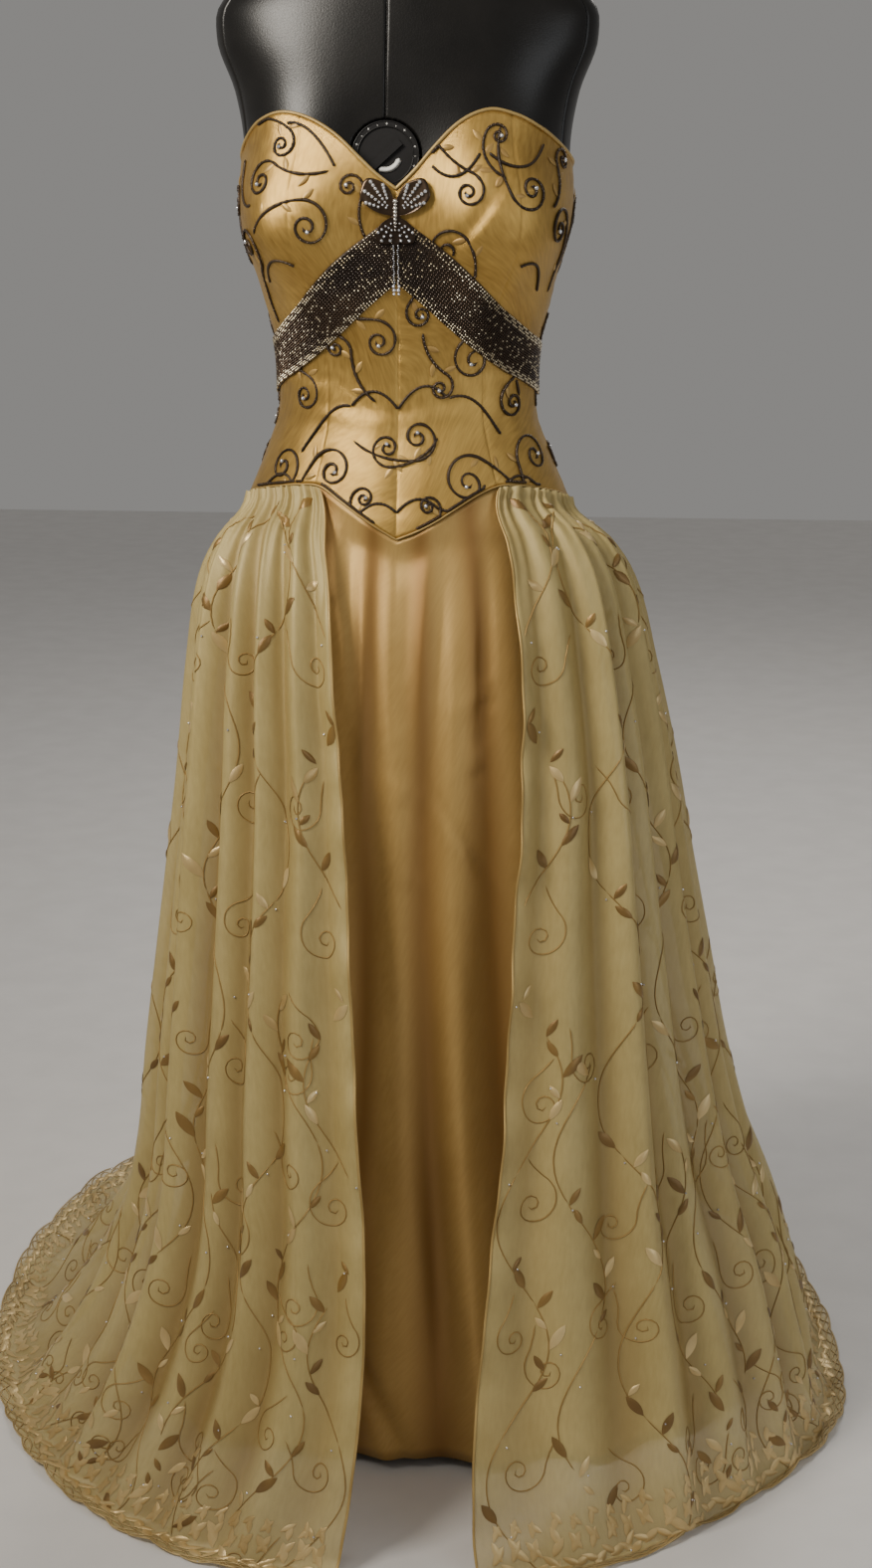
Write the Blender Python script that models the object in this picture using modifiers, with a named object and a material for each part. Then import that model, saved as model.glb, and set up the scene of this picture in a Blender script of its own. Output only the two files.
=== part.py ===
"""A strapless gown with a split, gathered overskirt, worn by a limbless dress form on a stand.

Metres, +Z up. The gown faces -Y and the wearer's left is +X. The origin is on the floor, under the pole.
Angles round the body start at the centre front and grow towards +X, so +/-180 is the centre back.
"""
import math

import bmesh
import bpy
import numpy as np
from mathutils import Matrix

# Cloth walls and the gaps between pieces
BODICE_WALL = 0.0020
SATIN_WALL = 0.0012
ORGANZA_WALL = 0.0012
BAND_WALL = 0.0018
GAP = 0.0003
TRIM_CLEARANCE = 0.0008
SKIRT_SEAM_GAP = 0.0013
SATIN_INSET = 0.0010

# The body under the bodice: half widths and depths of its level sections
BODY = {
    "z":          (0.800, 0.840, 0.880, 0.920, 0.940, 0.964, 0.980, 1.003, 1.026, 1.049, 1.076, 1.118,
                   1.158, 1.187, 1.210, 1.262, 1.300, 1.350, 1.400, 1.430, 1.455, 1.480, 1.500, 1.525, 1.560),
    "half_width": (0.150, 0.160, 0.165, 0.165, 0.164, 0.160, 0.154, 0.144, 0.135, 0.1265, 0.1245, 0.1265,
                   0.137, 0.144, 0.1515, 0.158, 0.156, 0.164, 0.181, 0.177, 0.150, 0.104, 0.070, 0.058, 0.056),
    "front":      (0.112, 0.118, 0.121, 0.122, 0.121, 0.118, 0.114, 0.109, 0.103, 0.098, 0.095, 0.095,
                   0.097, 0.099, 0.100, 0.102, 0.099, 0.090, 0.076, 0.066, 0.058, 0.052, 0.050, 0.050, 0.050),
    "back":       (0.118, 0.124, 0.125, 0.122, 0.118, 0.112, 0.106, 0.098, 0.088, 0.080, 0.076, 0.078,
                   0.085, 0.089, 0.092, 0.095, 0.095, 0.094, 0.086, 0.078, 0.070, 0.062, 0.056, 0.053, 0.052),
}
CUP = {"angle": 39, "spread": 18, "height": 1.228, "above": 0.058, "below": 0.043, "rise": 0.036}
HIP_CLEARANCE = {"depth": 0.011, "over": 0.030, "above": 0.004}
CLEAVAGE = {"spread": 18, "height": 1.290, "reach": 0.070, "depth": 0.015}

# Heights of the bodice's edges and of the beaded band's edges, by the angle from the centre front.
# The gown sits a little askew on the form, so the neckline and the basque differ between its two sides.
EDGES = {
    "degrees":        (0, 6, 12, 20, 30, 40, 52, 65, 78, 90, 112, 135, 158, 180),
    "neckline_left":  (1.265, 1.281, 1.300, 1.322, 1.334, 1.330, 1.318, 1.304, 1.294, 1.288, 1.279, 1.273, 1.269, 1.268),
    "neckline_right": (1.265, 1.277, 1.292, 1.312, 1.327, 1.332, 1.325, 1.309, 1.296, 1.288, 1.279, 1.273, 1.269, 1.268),
    "band_upper":     (1.243, 1.231, 1.219, 1.202, 1.180, 1.161, 1.146, 1.134, 1.126, 1.120, 1.120, 1.120, 1.120, 1.120),
    "band_lower":     (1.181, 1.169, 1.157, 1.141, 1.124, 1.110, 1.097, 1.087, 1.078, 1.070, 1.070, 1.070, 1.070, 1.070),
    "basque_left":    (0.9475, 0.954, 0.962, 0.974, 0.987, 0.994, 0.992, 0.986, 0.979, 0.972, 0.967, 0.965, 0.964, 0.964),
    "basque_right":   (0.9475, 0.957, 0.967, 0.980, 0.993, 0.993, 0.989, 0.984, 0.978, 0.972, 0.967, 0.965, 0.964, 0.964),
}
SEAM_LEFT, SEAM_RIGHT = 39, -33
ROWS_BELOW_BAND, ROWS_IN_BAND, ROWS_ABOVE_BAND = 5, 2, 5
PANELS = (
    # name, from and to in degrees round the body, columns
    ("bodice_centre_front_left", 0, SEAM_LEFT, 5),
    ("bodice_side_front_left", SEAM_LEFT, 90, 6),
    ("bodice_side_back_left", 90, 135, 4),
    ("bodice_back_left", 135, 180, 4),
    ("bodice_centre_front_right", SEAM_RIGHT, 0, 5),
    ("bodice_side_front_right", -90, SEAM_RIGHT, 6),
    ("bodice_side_back_right", -135, -90, 4),
    ("bodice_back_right", -180, -135, 4),
)
ZIP_HALF_WIDTH = 0.004
ZIP_SUNK = 0.0006
ZIP_WALL = 0.0012

# Level sections of the satin skirt and of the organza overskirt, before their folds
SATIN = {
    "z":     (0.012, 0.100, 0.200, 0.300, 0.400, 0.500, 0.600, 0.700, 0.800, 0.900, 0.940),
    "left":  (0.338, 0.312, 0.287, 0.266, 0.247, 0.232, 0.217, 0.203, 0.188, 0.169, 0.158),
    "right": (0.300, 0.270, 0.240, 0.220, 0.208, 0.200, 0.193, 0.186, 0.178, 0.165, 0.156),
    "front": (0.182, 0.184, 0.184, 0.182, 0.179, 0.174, 0.168, 0.160, 0.149, 0.129, 0.117),
    "back":  (0.325, 0.305, 0.280, 0.257, 0.235, 0.215, 0.195, 0.175, 0.154, 0.128, 0.112),
}
# fall runs 0 at the seam to 1 at the hem. The last two sections lie on the floor.
ORGANZA = {
    "fall":  (0.00, 0.03, 0.07, 0.15, 0.25, 0.35, 0.44, 0.53, 0.62, 0.71, 0.79, 0.86, 0.92, 1.00),
    "z":     (0.970, 0.940, 0.900, 0.800, 0.700, 0.600, 0.500, 0.400, 0.300, 0.200, 0.100, 0.030, 0.000, 0.000),
    "left":  (0.160, 0.182, 0.207, 0.232, 0.254, 0.273, 0.293, 0.313, 0.341, 0.379, 0.407, 0.430, 0.452, 0.478),
    "right": (0.158, 0.172, 0.190, 0.205, 0.217, 0.229, 0.241, 0.253, 0.263, 0.285, 0.325, 0.372, 0.402, 0.434),
    "front": (0.117, 0.132, 0.153, 0.180, 0.200, 0.222, 0.243, 0.264, 0.285, 0.307, 0.335, 0.358, 0.372, 0.395),
    "back":  (0.112, 0.134, 0.158, 0.190, 0.222, 0.258, 0.300, 0.348, 0.402, 0.465, 0.540, 0.605, 0.660, 0.780),
    "train": (0.000, 0.000, 0.000, 0.000, 0.000, 0.000, 0.000, 0.002, 0.008, 0.020, 0.045, 0.070, 0.084, 0.103),
    "tuck":  (0.000, 0.000, 0.000, 0.000, 0.000, 0.000, 0.000, 0.000, 0.000, 0.000, 0.000, 0.005, 0.014, 0.030),
    # where the overskirt's two front edges fall, across the body
    "edge_left":  (0.100, 0.101, 0.110, 0.119, 0.121, 0.117, 0.113, 0.110, 0.102, 0.094, 0.089, 0.092, 0.098, 0.106),
    "edge_right": (0.077, 0.069, 0.060, 0.051, 0.041, 0.035, 0.029, 0.023, 0.015, 0.014, 0.020, 0.030, 0.036, 0.044),
}
TRAIN_ANGLE, TRAIN_SPREAD = -118, 21
TUCK_ANGLE, TUCK_SPREAD = 54, 18
SKIRT_BLEND = 0.045

# One row for each fold of the overskirt, from the front edge to the centre back: where its ridge
# lies at the seam and at the hem, as a share of the way round, and how far it stands out half way and at the hem
FOLD_COLUMNS = ("at_seam", "at_hem", "rise", "rise_hem")
FOLDS_LEFT = (
    (0.000, 0.000, 0.006, 0.010),
    (0.075, 0.085, 0.009, 0.014),
    (0.160, 0.175, 0.020, 0.026),
    (0.225, 0.250, 0.012, 0.016),
    (0.295, 0.320, 0.018, 0.022),
    (0.370, 0.390, 0.013, 0.024),
    (0.440, 0.465, 0.019, 0.020),
    (0.510, 0.530, 0.014, 0.026),
    (0.585, 0.600, 0.021, 0.022),
    (0.655, 0.665, 0.014, 0.024),
    (0.730, 0.740, 0.019, 0.030),
    (0.800, 0.805, 0.015, 0.022),
    (0.870, 0.870, 0.020, 0.028),
    (0.935, 0.935, 0.014, 0.022),
    (1.000, 1.000, 0.010, 0.018),
)
FOLDS_RIGHT = (
    (0.000, 0.000, 0.008, 0.012),
    (0.060, 0.075, 0.014, 0.020),
    (0.125, 0.145, 0.017, 0.022),
    (0.190, 0.205, 0.015, 0.018),
    (0.265, 0.285, 0.024, 0.030),
    (0.340, 0.350, 0.014, 0.020),
    (0.415, 0.425, 0.019, 0.024),
    (0.490, 0.505, 0.015, 0.020),
    (0.565, 0.570, 0.021, 0.028),
    (0.640, 0.645, 0.015, 0.022),
    (0.715, 0.725, 0.019, 0.030),
    (0.790, 0.795, 0.014, 0.022),
    (0.860, 0.865, 0.020, 0.028),
    (0.930, 0.935, 0.014, 0.022),
    (1.000, 1.000, 0.010, 0.018),
)
# One row for each fold of the satin skirt, in degrees round the body
SATIN_FOLD_COLUMNS = ("degrees", "rise", "rise_hem")
SATIN_FOLDS = (
    (-180, 0.004, 0.010),
    (-155, 0.005, 0.014),
    (-122, 0.004, 0.012),
    (-90, 0.005, 0.014),
    (-62, 0.004, 0.012),
    (-38, 0.007, 0.026),
    (-16, 0.004, 0.004),
    (0, 0.003, 0.008),
    (16, 0.006, 0.020),
    (36, 0.006, 0.022),
    (62, 0.004, 0.012),
    (90, 0.005, 0.014),
    (122, 0.004, 0.012),
    (155, 0.005, 0.014),
    (180, 0.004, 0.010),
)
SEAM_RISE = 0.0012
COLUMNS_PER_FOLD = 4
ORGANZA_ROWS = (0.0, 0.03, 0.07, 0.15, 0.25, 0.36, 0.48, 0.60, 0.71, 0.80, 0.87, 0.92, 1.0)
SATIN_ROWS = (0.0, 0.05, 0.12, 0.24, 0.42, 0.62, 0.82, 1.0)
FLOOR_CLEARANCE = 0.0

# The form's stand and its dial
FORM_BOTTOM = 0.800
FORM_LOWER_ROWS = 4
SHOULDER_LEVEL = 1.400
FORM_UPPER_LEVELS = (1.430, 1.455, 1.475, 1.490, 1.505, 1.530, 1.560)
POLE_RADIUS = 0.0125
HUB = {"radius": 0.034, "collar": 0.021, "height": 0.075, "socket_floor": 0.012}
LEG_REACH, LEG_WIDTH = 0.190, 0.026
LEG_ANGLES = (45, 135, 225, 315)
DIAL = {"across": -0.011, "height": 1.297, "radius": 0.031, "rim": 0.0055, "depth": 0.008, "proud": 0.0015, "tilt": 10}
GRIP = {"length": 0.036, "width": 0.007, "proud": 0.003, "turn": 42}
CAP_HEIGHT = 0.012

# The butterfly at the neckline and the two strands that hang from it
BUTTERFLY_HEIGHT = 1.2415
BUTTERFLY_WALL = 0.0016
WING_LOBES = (
    # direction in degrees from +X, reach beyond the hub, narrowness
    (52, 0.043, 1.75),
    (128, 0.043, 1.75),
    (-54, 0.030, 1.9),
    (-126, 0.030, 1.9),
)
WING_HUB = 0.0065
WING_CORNERS = 36
STRANDS = {"half_space": 0.0035, "radius": 0.0013, "top": 1.2120, "bottom": 1.178}

SLIDER = {"height": 1.249, "width": 0.0076, "length": 0.011, "depth": 0.0022}
BAR = {"radius": 0.0008, "off": 0.0026, "span": 0.0034, "lug": 0.0009}
PULL = {"eye": 0.0019, "bore": 0.0011, "width": 0.0058, "length": 0.024, "wall": 0.0012, "eye_width": 0.0026}


def clear_scene():
    for obj in list(bpy.data.objects):
        bpy.data.objects.remove(obj)


def material(name, colour, roughness, metallic=0.0):
    made = bpy.data.materials.new(name)
    made.use_nodes = True
    shader = made.node_tree.nodes["Principled BSDF"]
    shader.inputs["Base Color"].default_value = (*colour, 1.0)
    shader.inputs["Roughness"].default_value = roughness
    shader.inputs["Metallic"].default_value = metallic
    return made


def smooth_read(xs, ys, x):
    """A smooth curve through the points (xs, ys), read at x: cubic pieces whose slopes are the points' own."""
    xs, ys, x = np.asarray(xs, float), np.asarray(ys, float), np.asarray(x, float)
    slopes = np.gradient(ys, xs)
    i = np.clip(np.searchsorted(xs, x) - 1, 0, len(xs) - 2)
    step = xs[i + 1] - xs[i]
    t = np.clip((x - xs[i]) / step, 0, 1)
    rise = t * t * (3 - 2 * t)
    return (ys[i] * (1 - rise) + ys[i + 1] * rise
            + step * t * (1 - t) * (slopes[i] * (1 - t) - slopes[i + 1] * t))


def edge(name, degrees):
    """The height of one of the bodice's edges at an angle round the body."""
    left, right = (EDGES.get(name + side, EDGES.get(name)) for side in ("_left", "_right"))
    away = np.abs(degrees)
    return np.where(np.asarray(degrees) > 0, smooth_read(EDGES["degrees"], left, away),
                    smooth_read(EDGES["degrees"], right, away))


def bell(x, centre, spread):
    return np.exp(-0.5 * ((x - centre) / spread) ** 2)


def oval(degrees, left, right, front, back):
    """A point of a level section whose four half axes differ, as (x, y)."""
    angle = np.radians(degrees)
    across = np.where(np.sin(angle) > 0, left, right)
    deep = np.where(np.cos(angle) > 0, front, back)
    return across * np.sin(angle), -deep * np.cos(angle)


def normals_of(surface, u, v, du, dv):
    """The normals of surface(u, v), from its slopes both ways."""
    along_u = surface(u + du, v) - surface(u - du, v)
    along_v = surface(u, v + dv) - surface(u, v - dv)
    crossed = np.cross(along_u, along_v)
    return crossed / np.maximum(np.linalg.norm(crossed, axis=-1, keepdims=True), 1e-12)


def body(degrees, z):
    """The bodice's outer surface: oval sections with the two cups raised on them."""
    degrees, z = np.broadcast_arrays(np.asarray(degrees, float), np.asarray(z, float))
    half, front, back = (smooth_read(BODY["z"], BODY[c], z) for c in ("half_width", "front", "back"))
    x, y = oval(degrees, half, half, front, back)
    out_x, out_y = x / half ** 2, y / np.where(y < 0, front, back) ** 2
    length = np.hypot(out_x, out_y)
    spread = np.where(z > CUP["height"], CUP["above"], CUP["below"])
    cup = CUP["rise"] * bell(z, CUP["height"], spread) * (
        bell(degrees, CUP["angle"], CUP["spread"]) + bell(degrees, -CUP["angle"], CUP["spread"]))
    return np.stack([x + cup * out_x / length, y + cup * out_y / length, z], -1)


def body_out(degrees, z):
    return normals_of(body, np.asarray(degrees, float), np.asarray(z, float), 0.5, 0.002)


def on_body(degrees, z, out):
    """A point this far out from the bodice's surface."""
    return body(degrees, z) + np.asarray(out)[..., None] * body_out(degrees, z)


def level(degrees, row):
    """The height of one of the bodice's rows of points: they follow the basque, the band and the neckline."""
    below, band, above = ROWS_BELOW_BAND, ROWS_IN_BAND, ROWS_ABOVE_BAND
    stops = (0, below, below + band, below + band + above)
    heights = [edge(n, degrees) for n in ("basque", "band_lower", "band_upper", "neckline")]
    row = np.asarray(row, float)
    found = heights[0] + 0 * row
    for first, last, low, high in zip(stops, stops[1:], heights, heights[1:]):
        found = found + (high - low) * np.clip((row - first) / (last - first), 0, 1)
    return found


def add_mesh(name, points, faces, mat, smooth=True):
    mesh = bpy.data.meshes.new(name)
    mesh.from_pydata([tuple(p) for p in points], [], faces)
    work = bmesh.new()
    work.from_mesh(mesh)
    bmesh.ops.recalc_face_normals(work, faces=work.faces)
    work.to_mesh(mesh)
    work.free()
    if smooth:
        mesh.shade_smooth()
        mesh.set_sharp_from_angle(angle=math.radians(50))
    mesh.materials.append(mat)
    obj = bpy.data.objects.new(name, mesh)
    PARTS.objects.link(obj)
    return obj


def split_quads(a, b, c, d):
    """Two triangles for each quad, split the same way everywhere, so that stacked walls stay parallel."""
    return np.concatenate([np.stack([a, b, c], -1).reshape(-1, 3), np.stack([a, c, d], -1).reshape(-1, 3)])


def wall(name, outer, inner, mat):
    """A cloth wall between two sheets of points in rows and columns, closed round its rim."""
    rows, columns = outer.shape[:2]
    count = rows * columns
    index = np.arange(count).reshape(rows, columns)
    facets = split_quads(index[:-1, :-1], index[:-1, 1:], index[1:, 1:], index[1:, :-1])
    rim = np.concatenate([index[0, :], index[1:, -1], index[-1, -2::-1], index[-2:0:-1, 0]])
    after = np.roll(rim, -1)
    sides = np.stack([rim, rim + count, after + count, after], -1)
    faces = [*facets.tolist(), *(facets[:, ::-1] + count).tolist(), *sides.tolist()]
    return add_mesh(name, np.concatenate([outer.reshape(-1, 3), inner.reshape(-1, 3)]), faces, mat)


def loft(name, rings, mat):
    """A closed solid through rings of points, capped at both ends."""
    rings = np.asarray(rings)
    count, sides = rings.shape[:2]
    index = np.arange(count * sides).reshape(count, sides)
    after = np.roll(index, -1, axis=1)
    facets = split_quads(index[:-1], after[:-1], after[1:], index[1:])
    faces = [*facets.tolist(), index[0, ::-1].tolist(), index[-1].tolist()]
    return add_mesh(name, rings.reshape(-1, 3), faces, mat)


def cylinder(name, radius, depth, centre, turn=Matrix.Identity(4), sides=32, mat=None):
    work = bmesh.new()
    bmesh.ops.create_cone(work, cap_ends=True, segments=sides, radius1=radius, radius2=radius, depth=depth,
                          matrix=Matrix.Translation(centre) @ turn)
    mesh = bpy.data.meshes.new(name)
    work.to_mesh(mesh)
    work.free()
    obj = bpy.data.objects.new(name, mesh)
    (PARTS if mat else CUTTERS).objects.link(obj)
    if mat:
        mesh.materials.append(mat)
        mesh.shade_smooth()
        mesh.set_sharp_from_angle(angle=math.radians(40))
    return obj


def block(name, size, centre, turn=Matrix.Identity(4), mat=None):
    work = bmesh.new()
    bmesh.ops.create_cube(work, size=1.0, matrix=Matrix.Translation(centre) @ turn @ Matrix.Diagonal((*size, 1)))
    mesh = bpy.data.meshes.new(name)
    work.to_mesh(mesh)
    work.free()
    obj = bpy.data.objects.new(name, mesh)
    (PARTS if mat else CUTTERS).objects.link(obj)
    if mat:
        mesh.materials.append(mat)
    return obj


def combine(obj, other, operation):
    """Joins another solid to this one, or cuts it away, and keeps the other as a hidden guide."""
    modifier = obj.modifiers.new(operation.lower(), "BOOLEAN")
    modifier.operation = operation
    modifier.solver = "EXACT"
    modifier.object = other
    other.hide_render = True
    other.display_type = "WIRE"


def panel_angles(start, end, columns):
    return np.linspace(start, end, columns + 1)


def pull_in(degrees, z, distance):
    """The same angles with the first and last column moved inwards by this much along the cloth."""
    step = 0.5
    speed = np.linalg.norm(body(degrees + step, z) - body(degrees - step, z), axis=-1) / (2 * step)
    moved = degrees.copy()
    moved[:, 0] += distance / speed[:, 0]
    moved[:, -1] -= distance / speed[:, -1]
    return moved


def bodice_rows():
    return ROWS_BELOW_BAND + ROWS_IN_BAND + ROWS_ABOVE_BAND


def zip_angle(z):
    """How far the zip's edge lies from the centre back, in degrees."""
    return np.degrees(np.arcsin(ZIP_HALF_WIDTH / smooth_read(BODY["z"], BODY["half_width"], z)))


def bodice_panels(mat):
    rows = np.arange(bodice_rows() + 1)[:, None]
    for name, start, end, columns in PANELS:
        degrees = np.repeat(panel_angles(start, end, columns)[None, :], len(rows), 0)
        z = level(degrees, rows)
        if end == 180:
            degrees[:, -1] -= zip_angle(z[:, -1])
        if start == -180:
            degrees[:, 0] += zip_angle(z[:, 0])
        degrees = pull_in(degrees, z, GAP / 2)
        wall(name, body(degrees, z), on_body(degrees, z, -BODICE_WALL), mat)


def beaded_bands(mat):
    """The inverted V of beadwork under the bust, made from the front panels' own points, moved out."""
    rows = np.arange(ROWS_BELOW_BAND, ROWS_BELOW_BAND + ROWS_IN_BAND + 1)[:, None]
    for side in ("left", "right"):
        covered = [panel_angles(*panel[1:]) for panel in PANELS if panel[0].endswith("front_" + side)]
        degrees = np.repeat(np.unique(np.concatenate(covered))[None, :], len(rows), 0)
        z = level(degrees, rows)
        degrees = pull_in(degrees, z, GAP / 2)
        wall("beaded_band_" + side, on_body(degrees, z, GAP + BAND_WALL), on_body(degrees, z, GAP), mat)


def zip_strip(mat):
    rows = np.arange(bodice_rows() + 1)[:, None]
    z = level(np.full((len(rows), 2), 180.0), rows)
    reach = zip_angle(z) * (ZIP_HALF_WIDTH - GAP / 2) / ZIP_HALF_WIDTH
    degrees = 180 + reach * np.array([-1, 1])
    wall("zip_tape", on_body(degrees, z, -ZIP_SUNK), on_body(degrees, z, -ZIP_SUNK - ZIP_WALL), mat)


def zip_slider(metal):
    """The slider with the bar that its pull hangs on, and the pull."""
    height = SLIDER["height"]
    face = float(on_body(180.0, height, 0.0)[1]) + GAP
    base = block("zip_slider", (SLIDER["width"], SLIDER["depth"], SLIDER["length"]),
                 (0, face + SLIDER["depth"] / 2, height), mat=metal)
    bar_y = face + SLIDER["depth"] + BAR["off"]
    lug_x = BAR["span"] / 2 + BAR["lug"] / 2
    reach = BAR["off"] + BAR["radius"] + SLIDER["depth"] / 2
    for name, sign in (("lug_one", 1), ("lug_two", -1)):
        centre = (sign * lug_x, face + SLIDER["depth"] / 2 + reach / 2, height)
        combine(base, block(name, (BAR["lug"], reach, 2 * BAR["radius"] + 0.001), centre), "UNION")
    across = Matrix.Rotation(math.radians(90), 4, "Y")
    bar = cylinder("bar", BAR["radius"], BAR["span"] + BAR["lug"], (0, bar_y, height), across, sides=12)
    combine(base, bar, "UNION")

    tongue = PULL["length"]
    pull = cylinder("zip_pull", PULL["eye"], PULL["eye_width"], (0, bar_y, height), across, 16, metal)
    neck = block("pull_neck", (PULL["eye_width"], PULL["wall"], 0.005), (0, bar_y, height - 0.0035))
    blade = block("pull_blade", (PULL["width"], PULL["wall"], tongue - 0.005),
                  (0, bar_y, height - 0.005 - (tongue - 0.005) / 2))
    bore = cylinder("pull_bore", PULL["bore"], 2 * PULL["eye_width"], (0, bar_y, height), across, sides=16)
    combine(pull, neck, "UNION")
    combine(pull, blade, "UNION")
    combine(pull, bore, "DIFFERENCE")


def skirt_top(degrees):
    """Where both skirts start: just under the basque."""
    return edge("basque", degrees) - SKIRT_SEAM_GAP


def fold_position(centres, fold):
    """The place round the skirt of a fold's number: whole numbers are ridges, and halves are the valleys."""
    return np.interp(fold, np.arange(len(centres)), centres)


def fold_wave(fold):
    """1 on a ridge and 0 in a valley, a little broader on the ridge."""
    return np.maximum(0.5 + 0.5 * np.cos(2 * np.pi * fold), 0) ** 0.85


def satin_mean(degrees, fall):
    """The satin skirt without its folds, from the basque (0) to the hem (1)."""
    top = skirt_top(degrees)
    z = top + (SATIN["z"][0] - top) * fall
    axes = [smooth_read(SATIN["z"], SATIN[c], z) for c in ("left", "right", "front", "back")]
    x, y = oval(degrees, *axes)
    seam = on_body(degrees, top, -SATIN_INSET)
    share = np.clip((top - z) / SKIRT_BLEND, 0, 1)[..., None]
    share = share * share * (3 - 2 * share)
    hung = np.stack([x, y, z], -1)
    drop = seam - np.stack([0 * x, 0 * x, top - z], -1)
    return drop * (1 - share) + hung * share


def satin(fold, fall):
    table = dict(zip(SATIN_FOLD_COLUMNS, np.array(SATIN_FOLDS).T))
    degrees = fold_position(table["degrees"], fold)
    index = np.arange(len(SATIN_FOLDS))
    rise, rise_hem = (np.interp(fold, index, table[c]) for c in ("rise", "rise_hem"))
    grow = rise * np.clip(fall / 0.25, 0, 1) + (rise_hem - rise) * fall ** 1.5
    out = -normals_of(satin_mean, degrees, fall, 0.5, 0.002)
    return satin_mean(degrees, fall) + (grow * fold_wave(fold))[..., None] * out, out


def satin_skirt(mat):
    """Three panels with side seams and a centre back seam."""
    angles = np.array(SATIN_FOLDS)[:, 0]
    at = {a: int(np.where(angles == a)[0][0]) for a in (-180, -90, 90, 180)}
    fall = np.array(SATIN_ROWS)[:, None]
    for name, start, end in (("skirt_back_right", -180, -90), ("skirt_front", -90, 90), ("skirt_back_left", 90, 180)):
        steps = (at[end] - at[start]) * COLUMNS_PER_FOLD
        fold = np.repeat(np.linspace(at[start], at[end], steps + 1)[None, :], len(fall), 0)
        seam = 0.0008
        fold[:, 0] += seam
        fold[:, -1] -= seam
        outer, out = satin(fold, fall + 0 * fold)
        wall(name, outer, outer - SATIN_WALL * out, mat)


def organza_mean(side, share, fall):
    """The overskirt without its folds: side is 1 for +X, share runs from the front edge to the centre back."""
    read = {c: smooth_read(ORGANZA["fall"], ORGANZA[c], fall) for c in ORGANZA if c != "fall"}
    across, name = (read["left"], "edge_left") if side > 0 else (read["right"], "edge_right")
    first = np.degrees(np.arcsin(np.clip(read[name] / across, -1, 1)))
    degrees = side * (first + (180 - first) * share)
    train = (read["train"] * bell(degrees, TRAIN_ANGLE, TRAIN_SPREAD)
             - read["tuck"] * bell(degrees, TUCK_ANGLE, TUCK_SPREAD))
    x, y = oval(degrees, read["left"], read["right"], read["front"], read["back"])
    length = np.maximum(np.hypot(x, y), 1e-9)
    x, y = x * (1 + train / length), y * (1 + train / length)
    top = skirt_top(degrees)
    z = read["z"] + (top - ORGANZA["z"][0]) * (read["z"] / ORGANZA["z"][0]) ** 3
    hung = np.stack([x, y, z], -1)
    seam = on_body(degrees, top, GAP + ORGANZA_WALL)
    drop = seam - np.stack([0 * x, 0 * x, top - z], -1)
    blend = np.clip((top - z) / SKIRT_BLEND, 0, 1)[..., None]
    blend = blend * blend * (3 - 2 * blend)
    return drop * (1 - blend) + hung * blend


def organza(side, fold, fall):
    """The overskirt's outer surface and its normals, by fold number and fall."""
    rows = FOLDS_LEFT if side > 0 else FOLDS_RIGHT
    table = dict(zip(FOLD_COLUMNS, np.array(rows).T))
    index = np.arange(len(rows))
    share = (fold_position(table["at_seam"], fold) * (1 - fall)
             + fold_position(table["at_hem"], fold) * fall)
    rise, rise_hem = (np.interp(fold, index, table[c]) for c in ("rise", "rise_hem"))
    swell = np.clip(fall / 0.16, 0, 1)
    grow = SEAM_RISE + rise * swell * (2 - swell) + (rise_hem - rise) * fall ** 2
    on_floor = np.clip((fall - 0.80) / 0.14, 0, 1)
    grow = grow * (1 - 0.72 * on_floor)
    mean = organza_mean(side, share, fall)
    out = -side * normals_of(lambda u, v: organza_mean(side, u, v), share, fall, 0.004, 0.002)
    return mean + (grow * fold_wave(fold))[..., None] * out, out


def overskirt(mat):
    """Two organza panels, open at the front and seamed at the centre back."""
    fall = np.array(ORGANZA_ROWS)[:, None]
    for name, side in (("overskirt_left", 1), ("overskirt_right", -1)):
        last = len(FOLDS_LEFT) - 1
        fold = np.repeat(np.linspace(0, last, last * COLUMNS_PER_FOLD + 1)[None, :], len(fall), 0)
        outer, out = organza(side, fold, fall + 0 * fold)
        inner = outer - ORGANZA_WALL * out
        outer[..., 2] = np.maximum(outer[..., 2], ORGANZA_WALL)
        inner[..., 2] = np.maximum(inner[..., 2], FLOOR_CLEARANCE)
        for sheet in (outer, inner):
            sheet[:, -1, 0] = side * GAP / 2
        wall(name, outer, inner, mat)


def form_surface(degrees, z):
    """The dress form: the bodice's own shape, a wall and a gap further in, hollowed between the cups
    and drawn in below the basque, where the skirts hang clear of it."""
    hollow = CLEAVAGE["depth"] * bell(degrees, 0, CLEAVAGE["spread"]) * bell(z, CLEAVAGE["height"], CLEAVAGE["reach"])
    start = edge("basque", degrees) + HIP_CLEARANCE["above"]
    below = np.clip((start - z) / HIP_CLEARANCE["over"], 0, 1)
    return on_body(degrees, z, -(BODICE_WALL + GAP) - hollow * np.clip((z - 1.12) / 0.10, 0, 1)
                   - HIP_CLEARANCE["depth"] * below)


def form_angles():
    """One column for each of the bodice's, so that the form's facets lie along its walls."""
    found = [panel_angles(start, end, columns)[:-1] for _, start, end, columns in PANELS]
    return np.sort(np.concatenate(found))


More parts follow.
